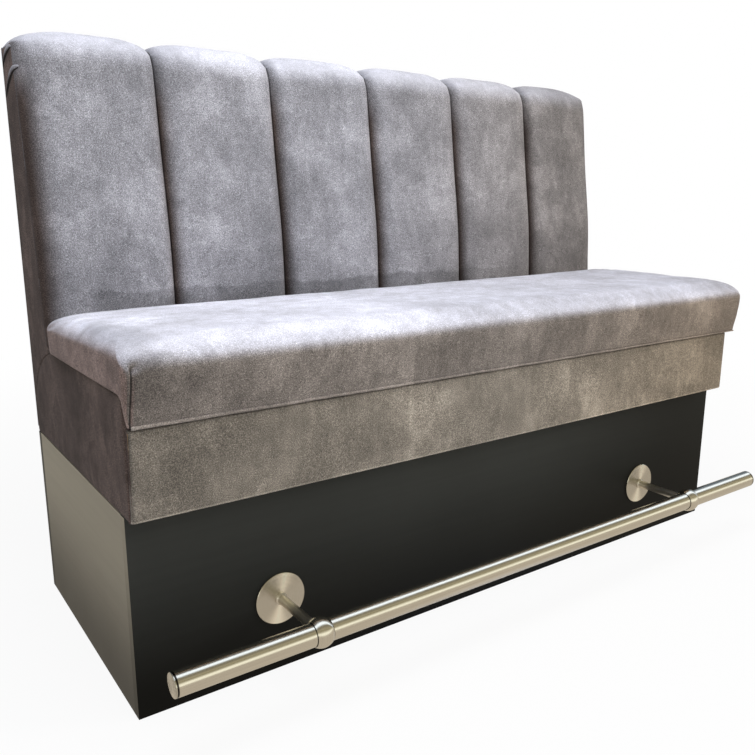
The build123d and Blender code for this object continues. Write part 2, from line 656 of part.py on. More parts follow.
with BuildPart() as back_front_sheet:
    with BuildSketch(Plane.YZ):
        with BuildLine():
            Polyline(
                (sheet_front(BOX_TOP), BOX_TOP),
                (sheet_rear(BOX_TOP), BOX_TOP),
                (sheet_rear(TOP_RAIL_TOP), TOP_RAIL_TOP),
                (sheet_front(TOP_RAIL_TOP), TOP_RAIL_TOP),
                close=True,
            )
        make_face()
    extrude(amount=BOX_HALF, both=True)
save(back_front_sheet, "back_front_sheet")

with BuildPart() as back_top_rail:
    with BuildSketch(Plane.YZ):
        with BuildLine():
            Polyline(
                (sheet_rear(TOP_RAIL_BOTTOM), TOP_RAIL_BOTTOM),
                (BACK_PANEL_FRONT, TOP_RAIL_BOTTOM),
                (BACK_PANEL_FRONT, TOP_RAIL_TOP),
                (sheet_rear(TOP_RAIL_TOP), TOP_RAIL_TOP),
                close=True,
            )
        make_face()
    extrude(amount=BOX_HALF, both=True)
save(back_top_rail, "back_top_rail")

with BuildPart() as back_rear_panel:
    with BuildSketch(Plane.XZ.offset(-REAR)):
        with Locations((0, (PLINTH_HEIGHT + TOP_RAIL_TOP) / 2)):
            Rectangle(2 * BOX_HALF, TOP_RAIL_TOP - PLINTH_HEIGHT)
        with Locations(BACK_BOLT_PLACES):
            Circle(BACK_BOLT_DIAMETER / 2 + SLIDING_CLEARANCE, mode=Mode.SUBTRACT)
    extrude(amount=BACK_REAR_BOARD)
save(back_rear_panel, "back_rear_panel")

with BuildPart() as back_battens:
    for left_x, right_x in zip(UPRIGHT_XS[:-1], UPRIGHT_XS[1:]):
        with BuildSketch(Plane.XY.offset(BOX_TOP)):
            with Locations(((left_x + right_x) / 2, BACK_PANEL_FRONT - BATTEN / 2)):
                Rectangle(right_x - left_x - FRAME_BOARD, BATTEN)
        extrude(amount=BATTEN)
save(back_battens, "back_battens")

with BuildPart() as back_bolts:
    with BuildSketch(Plane.XZ.offset(-REAR)):
        with Locations(BACK_BOLT_PLACES):
            Circle(BACK_BOLT_DIAMETER / 2)
    extrude(amount=BACK_REAR_BOARD + FRAME_BOARD)
    with BuildSketch(Plane.XZ.offset(-BOX_REAR_BOARD_FRONT)):
        with Locations(BACK_BOLT_PLACES):
            Circle(BACK_BOLT_HEAD / 2)
    extrude(amount=BACK_BOLT_HEAD_HEIGHT)
save(back_bolts, "back_bolts")


# Channelled back padding


CHANNEL_BOTTOM = BOX_TOP + CHANNEL_FOOT_GAP
RAKED_PLANE_NORMAL = (0, sin(RAKE), cos(RAKE))


def channel_front(height):
    """Y of the crest of the channels at a height."""
    return sheet_front(height) - CHANNEL_PADDING / cos(RAKE)


def channel_form(left, right, left_corner, right_corner, left_top, right_top):
    """One padded channel: crowned across, scalloped at the top and rolled over the top rail."""
    middle = (left + right) / 2
    half = (right - left) / 2
    outer_left = left - OUTLINE_EASE
    outer_right = right + OUTLINE_EASE
    shoulder = BACK_HEIGHT - CHANNEL_SCALLOP
    with BuildPart() as form:
        with BuildSketch(Plane.YZ.offset(middle)) as side_view:
            with BuildLine():
                Polyline(
                    (sheet_front(CHANNEL_BOTTOM), CHANNEL_BOTTOM),
                    (channel_front(CHANNEL_BOTTOM), CHANNEL_BOTTOM),
                    (channel_front(BACK_HEIGHT), BACK_HEIGHT),
                    (REAR, BACK_HEIGHT),
                    (REAR, TOP_RAIL_TOP),
                    (sheet_front(TOP_RAIL_TOP), TOP_RAIL_TOP),
                    close=True,
                )
            make_face()
            fillet(corner_at(side_view, channel_front(BACK_HEIGHT), BACK_HEIGHT), BACK_TOP_FRONT_RADIUS)
            fillet(corner_at(side_view, REAR, BACK_HEIGHT), BACK_TOP_REAR_RADIUS)
            fillet(corner_at(side_view, channel_front(CHANNEL_BOTTOM), CHANNEL_BOTTOM), CHANNEL_FOOT_RADIUS)
        extrude(amount=half + OVERRUN, both=True)
        across = Plane(
            origin=(middle, sheet_front(BOX_TOP), BOX_TOP), x_dir=(1, 0, 0), z_dir=RAKED_PLANE_NORMAL
        )
        with BuildSketch(across) as crown:
            with BuildLine():
                Line((-half, PLINTH_DEPTH), (-half, -CHANNEL_GROOVE))
                ThreePointArc((-half, -CHANNEL_GROOVE), (0, -CHANNEL_PADDING), (half, -CHANNEL_GROOVE))
                Line((half, -CHANNEL_GROOVE), (half, PLINTH_DEPTH))
                Line((half, PLINTH_DEPTH), (-half, PLINTH_DEPTH))
            make_face()
            fillet(corner_at(crown, -half, -CHANNEL_GROOVE), left_corner)
            fillet(corner_at(crown, half, -CHANNEL_GROOVE), right_corner)
        extrude(amount=BACK_HEIGHT, both=True, mode=Mode.INTERSECT)
        with BuildSketch(Plane.XZ) as scallop:
            with BuildLine():
                Line((outer_left, 0), (outer_left, shoulder))
                ThreePointArc((outer_left, shoulder), (middle, BACK_HEIGHT), (outer_right, shoulder))
                Line((outer_right, shoulder), (outer_right, 0))
                Line((outer_right, 0), (outer_left, 0))
            make_face()
            fillet(corner_at(scallop, outer_left, shoulder), left_top)
            fillet(corner_at(scallop, outer_right, shoulder), right_top)
        extrude(amount=PLINTH_DEPTH, both=True, mode=Mode.INTERSECT)
    return form.part


for index in range(CHANNELS):
    first = index == 0
    last = index == CHANNELS - 1
    with BuildPart() as back_channel:
        add(channel_form(
            -HALF_LENGTH + index * CHANNEL_PITCH + (0 if first else CHANNEL_GAP / 2),
            -HALF_LENGTH + (index + 1) * CHANNEL_PITCH - (0 if last else CHANNEL_GAP / 2),
            END_CORNER if first else CHANNEL_CORNER,
            END_CORNER if last else CHANNEL_CORNER,
            END_TOP_CORNER if first else CHANNEL_TOP_CORNER,
            END_TOP_CORNER if last else CHANNEL_TOP_CORNER,
        ))
    save(back_channel, f"back_channel_{index + 1}")

for side, name in ((-1, "left"), (1, "right")):
    with BuildPart() as back_side_cover:
        with BuildSketch(Plane.YZ.offset(side * HALF_LENGTH)):
            with BuildLine():
                Line((sheet_front(TOP_RAIL_TOP), TOP_RAIL_TOP), (sheet_front(BOX_TOP), BOX_TOP))
                Line((sheet_front(BOX_TOP), BOX_TOP), (SIDE_SEAM_TOP, BOX_TOP))
                side_seam()
                Line((REAR, SIDE_SEAM_BOTTOM), (REAR, TOP_RAIL_TOP))
                Line((REAR, TOP_RAIL_TOP), (sheet_front(TOP_RAIL_TOP), TOP_RAIL_TOP))
            make_face()
        extrude(amount=-side * COVER)
    save(back_side_cover, f"back_side_cover_{name}")

with BuildPart() as back_dust_cloth:
    with BuildSketch(Plane.XZ.offset(-REAR)):
        with Locations((0, (PLINTH_HEIGHT + TOP_RAIL_TOP) / 2)):
            Rectangle(
                PLINTH_LENGTH - 2 * DUST_CLOTH_MARGIN,
                TOP_RAIL_TOP - PLINTH_HEIGHT - 2 * DUST_CLOTH_MARGIN,
            )
    extrude(amount=-DUST_CLOTH)
save(back_dust_cloth, "back_dust_cloth")
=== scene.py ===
"""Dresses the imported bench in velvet, laminate, board and brushed steel, and lights it."""

import json
import math

import bmesh
import bpy
import numpy as np
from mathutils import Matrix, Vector, noise
from mathutils.bvhtree import BVHTree

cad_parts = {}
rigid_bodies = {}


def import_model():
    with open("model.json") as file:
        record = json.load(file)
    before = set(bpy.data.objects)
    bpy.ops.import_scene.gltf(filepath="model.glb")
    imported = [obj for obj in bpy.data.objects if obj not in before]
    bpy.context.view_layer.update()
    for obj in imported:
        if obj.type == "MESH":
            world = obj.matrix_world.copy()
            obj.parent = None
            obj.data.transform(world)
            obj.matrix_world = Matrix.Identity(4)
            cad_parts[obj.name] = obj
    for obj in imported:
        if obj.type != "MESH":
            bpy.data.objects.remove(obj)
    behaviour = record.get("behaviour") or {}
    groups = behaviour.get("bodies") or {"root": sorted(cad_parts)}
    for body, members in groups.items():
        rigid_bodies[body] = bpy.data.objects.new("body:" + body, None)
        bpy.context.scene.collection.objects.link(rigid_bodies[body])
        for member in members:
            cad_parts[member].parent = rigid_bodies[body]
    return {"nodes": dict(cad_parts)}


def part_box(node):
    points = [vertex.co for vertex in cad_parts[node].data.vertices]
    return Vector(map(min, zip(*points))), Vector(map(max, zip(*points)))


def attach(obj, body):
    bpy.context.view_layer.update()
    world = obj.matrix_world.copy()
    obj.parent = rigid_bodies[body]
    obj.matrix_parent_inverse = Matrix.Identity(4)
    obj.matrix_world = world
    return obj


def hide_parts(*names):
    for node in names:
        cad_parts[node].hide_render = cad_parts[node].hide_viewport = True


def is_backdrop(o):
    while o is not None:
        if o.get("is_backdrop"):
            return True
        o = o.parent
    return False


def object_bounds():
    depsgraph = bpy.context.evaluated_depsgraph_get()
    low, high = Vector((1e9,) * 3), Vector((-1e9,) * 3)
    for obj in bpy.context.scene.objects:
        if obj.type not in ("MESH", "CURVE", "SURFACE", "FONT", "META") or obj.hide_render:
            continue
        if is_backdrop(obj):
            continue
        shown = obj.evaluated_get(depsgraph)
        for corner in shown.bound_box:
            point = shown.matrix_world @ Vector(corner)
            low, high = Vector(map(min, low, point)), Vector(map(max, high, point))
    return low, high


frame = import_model()

bl_info = {
    "name": "Channelled bar bench",
    "version": (1, 0, 0),
    "blender": (4, 5, 0),
    "location": "3D View > Sidebar > Bench",
    "description": "Upholstery, plinth and foot rail of a channelled bar bench",
    "category": "Object",
}

NODES = frame["nodes"]
CAD_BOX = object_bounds()

# Sizes in metres, most of them read from the frame

X, Y, Z = 0, 1, 2
SIDES = ((-1, "left"), (1, "right"))
SAME = 1e-4


def low(node, axis):
    """Lowest coordinate of a node along an axis."""
    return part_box(node)[0][axis]


def high(node, axis):
    """Highest coordinate of a node along an axis."""
    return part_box(node)[1][axis]


def front_edge(node, height):
    """Foremost y of a node's points at a height."""
    return min(v.co.y for v in NODES[node].data.vertices if abs(v.co.z - height) < SAME)


HALF = high("plinth_front_panel", X)
REAR = high("plinth_rear_panel", Y)
PLINTH_TOP = high("plinth_front_panel", Z)
BOX_FRONT = low("box_front_board", Y)
BOX_TOP = high("box_deck", Z)
RAIL_TOP = high("back_top_rail", Z)
BACK_TOP = high("back_channel_3", Z)
SHEET_FOOT = front_edge("back_front_sheet", BOX_TOP)
RAKE_SLOPE = (front_edge("back_front_sheet", RAIL_TOP) - SHEET_FOOT) / (RAIL_TOP - BOX_TOP)

CHANNELS = 6
CHANNEL_FOOT = low("back_channel_3", Z)
CHANNEL_PADDING = 0.0364
CHANNEL_GAP = 0.0003
CHANNEL_RINGS = 0.0065

PAD_BOTTOM, PAD_TOP = low("seat_board", Z), high("seat_cover", Z)
PAD_LEFT, PAD_RIGHT = low("seat_cover", X), high("seat_cover", X)
PAD_NOSE = low("seat_cover", Y)
PAD_CAP = 0.0045
PAD_SEAM, PAD_SEAM_TOP, PAD_SEAM_LEAN = PAD_LEFT + 0.0193, 0.5816, 0.04
PAD_PATCH = (-0.724, -0.20, 0.600)
LIP_BOTTOM = low("seat_lip_pad", Z)
LIP_REAR = high("seat_lip_board", Y)

SIDE_FABRIC = 0.003
TUCK = 0.002
TURNED_WIDTH = 0.03
GATHER = (0.97, 1.06)
BOX_SIDE = [v.co for v in NODES["box_side_cover_left"].data.vertices]
SEAM_FRONT = (max(p.y for p in BOX_SIDE if abs(p.z - BOX_TOP) < SAME), BOX_TOP)
SEAM_REAR = (REAR, max(p.z for p in BOX_SIDE if abs(p.y - REAR) < SAME))
SEAM_BEND = (
    SEAM_FRONT[0] + (REAR - SEAM_FRONT[0]) * 0.67,
    BOX_TOP + (SEAM_REAR[1] - BOX_TOP) * 0.36,
)
# Lines (y, z) of the folds on each side of the back, from rear to front, and their widths
SIDE_PLEATS = (
    (((0.195, 1.072), (0.218, 1.0685), (0.246, 1.0625), (0.264, 1.055), (0.2745, 1.048)), 0.012),
    (
        (
            (0.1765, 1.0372), (0.1846, 1.0336), (0.206, 1.0263), (0.2306, 1.0177),
            (0.2486, 1.008), (0.272, 0.995),
        ),
        0.014,
    ),
)
# A fold's section: how far across its width, and how high over the side
PLEAT_SECTION = (
    (1.0, -0.0006), (1.0, 0.0002), (0.7, 0.0014), (0.4, 0.0028), (0.15, 0.0038), (0.02, 0.0040),
    (-0.04, 0.0032), (-0.05, 0.0014), (-0.02, 0.0002), (-0.24, 0.0003), (-0.24, -0.0006),
)
# Rows of the fold's section that take the painted shadow
PLEAT_PAINTED_SHADOW = (6, 8)
CLOTH_PITCH = 0.0016
STAPLE_PITCH, STAPLE_LENGTH = 0.06, 0.012


def sheet_front(height):
    """Y of the raked sheet behind the channels, at a height."""
    return SHEET_FOOT + (height - BOX_TOP) * RAKE_SLOPE


# Materials


def overloaded(operation):
    """The methods of an operator and of its reflected form, which add a Math node."""

    def plain(self, other):
        return self.nodes.math(operation, self, other)

    def reflected(self, other):
        return self.nodes.math(operation, other, self)

    return plain, reflected


class Sock:
    """A value inside a material; arithmetic on it adds Math nodes."""

    __add__, __radd__ = overloaded("ADD")
    __sub__, __rsub__ = overloaded("SUBTRACT")
    __mul__, __rmul__ = overloaded("MULTIPLY")
    __truediv__, __rtruediv__ = overloaded("DIVIDE")
    __pow__, __rpow__ = overloaded("POWER")

    def __init__(self, nodes, socket):
        self.nodes, self.socket = nodes, socket

    def __abs__(self):
        return self.nodes.math("ABSOLUTE", self)

    def between(self, start, end):
        """0 before start, 1 after end, and smooth between them."""
        return self.nodes.node(
            "ShaderNodeMapRange",
            {"interpolation_type": "SMOOTHSTEP"},
            {"Value": self, "From Min": start, "From Max": end},
        )

    def output(self, name):
        """Another output of the node that this value comes from."""
        return Sock(self.nodes, self.socket.node.outputs[name])


class Nodes:
    """A node tree while it is laid out."""

    def __init__(self, tree):
        self.tree = tree

    def node(self, kind, settings=None, sockets=None, out=0):
        """Adds a node, its settings or a ramp's stops first, and returns one of its outputs."""
        node = self.tree.nodes.new(kind)
        for key, value in (settings or {}).items():
            if key == "stops":
                self.lay_stops(node.color_ramp, value)
            else:
                setattr(node, key, value)
        for key, value in (sockets or {}).items():
            self.feed(node.inputs[key], value)
        return Sock(self, node.outputs[out]) if node.outputs else None

    def lay_stops(self, ramp, stops):
        """Gives a colour ramp its stops of place and colour."""
        for element, (place, colour) in zip(ramp.elements, (stops[0], stops[-1])):
            element.position, element.color = place, colour
        for place, colour in stops[1:-1]:
            ramp.elements.new(place).color = colour

    def feed(self, socket, value):
        """Links a value to a socket, or sets the socket to it."""
        if isinstance(value, Sock):
            self.tree.links.new(value.socket, socket)
        else:
            socket.default_value = value

    def math(self, operation, *values):
        """A Math node of values."""
        return self.node("ShaderNodeMath", {"operation": operation}, dict(enumerate(values)))

    def vector(self, operation, *values, out=0):
        """A Vector Math node of values; its number comes from the output Value."""
        return self.node(
            "ShaderNodeVectorMath", {"operation": operation}, dict(enumerate(values)), out
        )

    def parts(self, vector):
        """The three parts of a vector."""
        x = self.node("ShaderNodeSeparateXYZ", sockets={"Vector": vector})
        return x, x.output("Y"), x.output("Z")

    def mix_shaders(self, factor, first, second):
        """The first shader where the factor is 0, and the second where it is 1."""
        return self.node("ShaderNodeMixShader", sockets={0: factor, 1: first, 2: second})


class Finish(Nodes):
    """A material while its nodes are laid out."""

    def __init__(self, name):
        self.material = bpy.data.materials.new(name)
        self.material.use_nodes = True
        super().__init__(self.material.node_tree)
        self.shader = self.tree.nodes["Principled BSDF"]
        self.place = self.node("ShaderNodeTexCoord", out="Object")

    def noise(self, scale, detail=3.0, roughness=0.55, stretch=(1, 1, 1), shift=(0, 0, 0)):
        """Noise from 0 to 1 over the piece; scale is in waves to the metre."""
        place = self.node(
            "ShaderNodeMapping", sockets={"Vector": self.place, "Scale": stretch, "Location": shift}
        )
        return self.node(
            "ShaderNodeTexNoise",
            sockets={"Vector": place, "Scale": scale, "Detail": detail, "Roughness": roughness},
        )

    def axes(self):
        """The three object coordinates."""
        return self.parts(self.place)

    def facing(self):
        """The three parts of the way in which the surface looks."""
        return self.parts(self.node("ShaderNodeNewGeometry", out="Normal"))

    def mix(self, factor, first, second, blend="MIX"):
        """Blends two colours."""
        return self.node(
            "ShaderNodeMix",
            {"data_type": "RGBA", "blend_type": blend, "clamp_factor": True},
            {0: factor, 6: first, 7: second},
            out=2,
        )

    def shade(self, colour, value):
        """A colour made lighter or darker by a value round 1."""
        colour = colour if isinstance(colour, Sock) else tuple(colour)[:3]
        return self.node(
            "ShaderNodeVectorMath", {"operation": "SCALE"}, {"Vector": colour, "Scale": value}
        )

    def bump(self, height, distance, strength=1.0):
        """Relief from a height of 0 to 1; distance in metres."""
        normal = self.node(
            "ShaderNodeBump",
            sockets={"Height": height, "Distance": distance, "Strength": strength},
        )
        self.feed(self.shader.inputs["Normal"], normal)

    def surface(self, **values):
        """Sets the shader's sockets, by names with underscores for blanks."""
        names = {socket.name.lower().replace(" ", "_"): socket for socket in self.shader.inputs}
        for key, value in values.items():
            self.feed(names[key], value)
        return self.material


def rgba(colour, factor=1.0):
    """A colour with its alpha, made lighter or darker."""
    return tuple(c * factor for c in colour[:3]) + (1.0,)


def velvet(
    name, tone, warm, painted_top_sheen=0.0, side=None, wear_and_shade=None, seam=None, sheen=1.0, nap_share=1.0,
    rise=(0.25, 0.95), painted_warm_light=True,
):
    """Short-pile velvet: brushed patches, cloudy nap, fine grain and a soft sheen.

    side is the colour painted as shading where it looks sideways: painted shade on the back,
    painted light on the pad.
    painted_top_sheen is how far a painted sheen pales it where it looks up, over the range rise,
    and painted_warm_light paints warm light that browns it to the right. worn scales it for wear
    and painted light and shade, and seam paints shade along a seam.
    """
    made = Finish(name)
    settings = bpy.context.scene.bench_fabric
    clouds = made.noise(6.0, 5.0, 0.62)
    patches = made.noise(12.0, 3.0, 0.5, shift=(3.1, 0.7, 1.9))
    flecks = made.noise(34.0, 6.0, 0.72, shift=(0.4, 2.3, 0.8))
    strokes = made.noise(30.0, 5.0, 0.66, stretch=(1.9, 1.2, 0.5), shift=(1.3, 0, 5.0))
    grain = made.noise(580.0, 2.0, 0.75)
    fuzz = made.noise(1300.0, 2.0, 0.6)
    brushed = patches.between(0.53, 0.58) * clouds.between(0.35, 0.6)
    depth = settings.nap_contrast * nap_share
    nap = (
        (clouds - 0.5) * (2.8 * depth)
        + (flecks - 0.5) * (0.8 * depth)
        + (strokes - 0.5) * (1.0 * depth)
        - brushed * (0.28 * depth)
        + (grain - 0.5) * (5.0 * depth)
        + (fuzz - 0.5) * (3.0 * depth)
    )
    warmth = made.noise(5.0, 3.0, 0.6, shift=(9, 4, 2)).between(0.38, 0.62)
    colour = made.mix(warmth, tone, warm)
    value = 2.0 ** nap
    x, y, z = made.axes()
    # Painted warm light: the cloth turns browner towards the right.
    if painted_warm_light:
        colour = made.mix(x.between(-0.1, 0.8), colour, (1.13, 1.04, 0.91, 1), "MULTIPLY")
    sideways, _, up = made.facing()
    # Painted shading: faces that look sideways, most those that look left, take the side colour,
    # less where the sides are gathered.
    if side:
        aside = made.math("MAXIMUM", 0.0 - sideways, sideways * 0.6)
        painted_side_shading = aside.between(0.12, 0.85) * (1.0 - z.between(*GATHER) * 0.75)
        colour = made.mix(painted_side_shading, colour, side)
    # Painted sheen: faces that look up turn to the sheen colour and lose the nap's darkness.
    if painted_top_sheen:
        painted_sheen_mask = up.between(*rise) * (0.94 + (clouds - 0.5) * 0.6 + (flecks - 0.5) * 0.7)
        colour = made.mix(painted_sheen_mask * painted_top_sheen, colour, rgba(settings.sheen_tone))
        value = made.mix(painted_sheen_mask * 0.6, value, (1.0, 1.0, 1.0, 1.0))
    # Wear and painted light and shade, from the piece's own function.
    if wear_and_shade:
        value = value * wear_and_shade(made, x, y, z)
    # Painted shade along a seam.
    if seam:
        value = value * (1.0 - seam(x, y, z) * 0.75)
    made.bump(grain * 0.5 + fuzz * 0.3 + flecks * 0.9, 0.0012, 0.5)
    return made.surface(
        base_color=made.shade(colour, value),
        roughness=0.86 + (grain - 0.5) * 0.2,
        specular_ior_level=0.12,
        sheen_weight=settings.sheen * sheen,
        sheen_roughness=0.38,
        sheen_tint=rgba(settings.sheen_tone),
    )


def board_finish(name, pale, dark):
    """Birch ply seen from inside: long grain, small knots and a dull lacquer."""
    made = Finish(name)
    grain = made.noise(70.0, 5.0, 0.65, stretch=(0.07, 1.0, 1.0))
    bands = made.noise(14.0, 2.0, 0.5, stretch=(0.2, 1.0, 1.0))
    pores = made.noise(700.0, 2.0, 0.5, stretch=(0.08, 1.0, 1.0))
    blend = grain.between(0.3, 0.72) * 0.75 + bands * 0.3
    made.bump(grain * 0.5 + pores * 0.5, 0.0004, 0.5)
    return made.surface(
        base_color=made.shade(made.mix(blend, pale, dark), 0.9 + pores * 0.2),
        roughness=0.55 + grain * 0.2,
        specular_ior_level=0.3,
    )


def laminate_finish(name, tone, gloss, foot, fade, painted_right_shade=0.0, painted_rear_light=0.0, edge=None):
    """Satin laminate with a very fine pearl texture and a few rub marks.

    foot is its share of painted light at the floor, which grows over the heights fade. dim paints
    shade that darkens it to the right, lean paints light that brightens it to the rear, and edge is
    a painted reflection on what looks left.
    """
    made = Finish(name)
    pearl = made.noise(900.0, 2.0, 0.5)
    haze = made.noise(6.0, 3.0, 0.6, stretch=(1, 1, 0.6))
    rubs = made.noise(60.0, 4.0, 0.7, stretch=(0.15, 1, 1)).between(0.66, 0.8)
    rows = made.noise(90.0, 2.0, 0.5, stretch=(0.03, 0.03, 1))
    made.bump(pearl, 0.00006, 0.35)
    x, y, z = made.axes()
    # Painted light and shade: darker at the foot and to the right, brighter to the rear.
    painted_light_share = (foot + z.between(*fade) * (1.0 - foot)) * (1.0 - x.between(0.0, 0.7) * painted_right_shade + y * painted_rear_light)
    colour = rgba(tone)
    # Painted reflection on faces that look left.
    if edge:
        colour = made.mix((0.0 - made.facing()[X]).between(0.4, 0.6), colour, rgba(edge))
    return made.surface(
        base_color=made.shade(colour, (0.78 + haze * 0.24 + rubs * 0.1 + rows * 0.2) * painted_light_share),
        roughness=0.36 + haze * 0.1 + rubs * 0.07,
        specular_ior_level=gloss,
    )


def steel_finish(name, stretch, tone, roughness, centre=None, depth=0.00002, joints=None):
    """Brushed steel, scratched along one way, or in rings round a centre with a painted highlight
    fan.

    joints gives the x of a joint's middle, its half length and the width of its dark lines.
    """
    made = Finish(name)
    if centre:
        place = made.vector("SUBTRACT", made.place, centre)
        length = made.vector("LENGTH", place, out="Value")
        rings = made.node(
            "ShaderNodeCombineXYZ", sockets={"X": length * 1400.0, "Y": 0.0, "Z": 0.0}
        )
        scratch = made.node(
            "ShaderNodeTexNoise", sockets={"Vector": rings, "Scale": 1.0, "Detail": 3.0}
        )
        upward = made.vector("DOT_PRODUCT", place, (0.2, 0, 0.98), out="Value")
        # Painted highlight: a bright fan that points upwards from the centre.
        painted_highlight_fan = (upward / length) ** 14.0 * 0.75
    else:
        scratch = made.noise(1.0, 3.0, 0.6, stretch=stretch)
    smudge = made.noise(11.0, 3.0, 0.6)
    made.bump(scratch, depth, 0.5)
    value = 0.80 + scratch * 0.36 + (smudge - 0.5) * 0.1
    if centre:
        value = value * (0.82 + painted_highlight_fan)
    if joints:
        middle, reach, width = joints
        gap = abs(abs(made.axes()[X]) - middle)
        value = value * (1.0 - gap.between(reach - width * 1.5, reach - width) * 0.94)
    return made.surface(
        base_color=made.shade(rgba(tone), value),
        metallic=1.0,
        roughness=roughness + (scratch - 0.5) * 0.12 + (smudge - 0.5) * 0.08,
    )


def plain_finish(name, tone, roughness, metallic=0.0, scale=260.0, depth=0.0003):
    """Small parts: zinc, rubber or cloth with an even fine grain."""
    made = Finish(name)
    grain = made.noise(scale, 4.0, 0.65)
    haze = made.noise(18.0, 3.0, 0.6)
    made.bump(grain, depth, 0.6)
    return made.surface(
        base_color=made.shade(rgba(tone), 0.8 + grain * 0.25 + haze * 0.15),
        metallic=metallic,
        roughness=roughness + (grain - 0.5) * 0.2,
    )


def cloth_finish(name, tone, pitch):
    """Plain woven cloth: threads over and under at a pitch in metres."""
    made = Finish(name)
    x, _, z = made.axes()
    turn = 2 * math.pi / pitch
    weave = made.math("SINE", x * turn) * made.math("SINE", z * turn) * 0.5 + 0.5
    haze = made.noise(9.0, 4.0, 0.6)
    made.bump(weave, pitch * 0.25, 0.7)
    return made.surface(
        base_color=made.shade(rgba(tone), 0.65 + weave * 0.4 + haze * 0.3),
        roughness=0.85 + (haze - 0.5) * 0.15,
        specular_ior_level=0.2,
    )


# Meshes


def coordinates(mesh):
    """The places of a mesh's points, as rows."""
    return np.array([v.co for v in mesh.vertices])


def move_points(mesh, places):
    """Puts a mesh's points in new places."""
    for vertex, place in zip(mesh.vertices, places):
        vertex.co = place


def grid_faces(rows, columns, closed=False):
    """Quads of points that stand row by row; closed joins the last column to the first."""
    span = columns if closed else columns - 1
    return [
        (
            r * columns + c,
            r * columns + (c + 1) % columns,
            (r + 1) * columns + (c + 1) % columns,
            (r + 1) * columns + c,
        )
        for r in range(rows - 1)
        for c in range(span)
    ]


def new_piece(name, points, faces, finish, body, replaced=(), outward=True):
    """A smooth mesh piece that rides on a body and stands for CAD nodes."""
    mesh = bpy.data.meshes.new(name)
    mesh.from_pydata([tuple(p) for p in points], [], faces)
    work = bmesh.new()
    work.from_mesh(mesh)
    bmesh.ops.remove_doubles(work, verts=work.verts, dist=1e-5)
    bmesh.ops.dissolve_degenerate(work, edges=work.edges, dist=1e-6)
    if outward:
        bmesh.ops.recalc_face_normals(work, faces=work.faces)
    work.to_mesh(mesh)
    work.free()
    mesh.shade_smooth()
    mesh.materials.append(finish)
    piece = bpy.data.objects.new(name, mesh)
    bpy.context.scene.collection.objects.link(piece)
    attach(piece, body)
    if replaced:
        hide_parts(*replaced)
    return piece


def padded_piece(name, points, faces, finish, body="bench", replaced=()):
    """A piece of padding, made like any other piece."""
    piece = new_piece(name, points, faces, finish, body, replaced)
    return piece


def bend_round(t, width, depth):
    """Drop of a rounded edge: depth at the edge, none from width inwards."""
    a = np.clip(1.0 - t / width, 0.0, 1.0)
    return depth * (1.0 - np.sqrt(np.clip(1.0 - a * a, 0.0, 1.0)))


def edge_stops(length, first, last, step):
    """Places from 0 to length, close together inside the rounded edges."""
    curve = 1.0 - np.cos(np.linspace(0.0, math.pi / 2, 9))
    count = max(2, int(math.ceil((length - first - last) / step)) + 1)
    middle = np.linspace(first, length - last, count)
    return np.unique(np.concatenate([curve * first, middle, length - curve[::-1] * last]).round(6))


def rounded_line(corners, step):
    """Points along a line of (y, z, radius) corners, evenly close and rounded."""
    line = []
    for i, (y, z, radius) in enumerate(corners):
        here = np.array((y, z))
        if not radius:
            line.append(here)
            continue
        back = np.array(corners[i - 1][:2]) - here
        ahead = np.array(corners[i + 1][:2]) - here
        back, ahead = back / np.linalg.norm(back), ahead / np.linalg.norm(ahead)
        half = math.acos(float(np.clip(back @ ahead, -1, 1))) / 2
        middle = back + ahead
        centre = here + middle / np.linalg.norm(middle) * radius / math.sin(half)
        start = here + back * radius / math.tan(half) - centre
        end = here + ahead * radius / math.tan(half) - centre
        a0, a1 = math.atan2(start[1], start[0]), math.atan2(end[1], end[0])
        turn = (a1 - a0 + math.pi) % (2 * math.pi) - math.pi
        count = max(4, int(abs(turn) * radius / step) + 1)
        for k in range(count + 1):
            a = a0 + turn * k / count
            line.append(centre + radius * np.array((math.cos(a), math.sin(a))))
    dense = [line[0]]
    for p in line[1:]:
        start = dense[-1]
        count = max(1, int(round(np.linalg.norm(p - start) / step)))
        dense += [start + (p - start) * (k + 1) / count for k in range(count)]
    return np.array(dense)


def nearest_on(points, line):
    """The nearest point of a line of straight runs to each point."""
    best = np.full(len(points), np.inf)
    found = np.zeros_like(points)
    for a, b in zip(line[:-1], line[1:]):
        run = b - a
        t = np.clip(((points - a) @ run) / (run @ run), 0, 1)
        spot = a + t[:, None] * run
        gap = np.linalg.norm(points - spot, axis=1)
        closer = gap < best
        best[closer], found[closer] = gap[closer], spot[closer]
    return found


def waves(points, scale, seed):
    """Smooth noise from -1 to 1 at each point; scale in waves to the metre."""
    shift = Vector((seed * 3.7, seed * 1.9, seed * 5.3))
    return np.array([noise.noise(Vector(p) * scale + shift) for p in points])


def ripples(grid, spot, *layers):
    """Waves over a grid that spot puts in space: the sum of layers of scale, seed and depth."""
    points = [spot(a, b) for a, b in grid.reshape(-1, 2)]
    height = sum(waves(points, scale, seed) * depth for scale, seed, depth in layers)
    return height.reshape(grid.shape[:2])


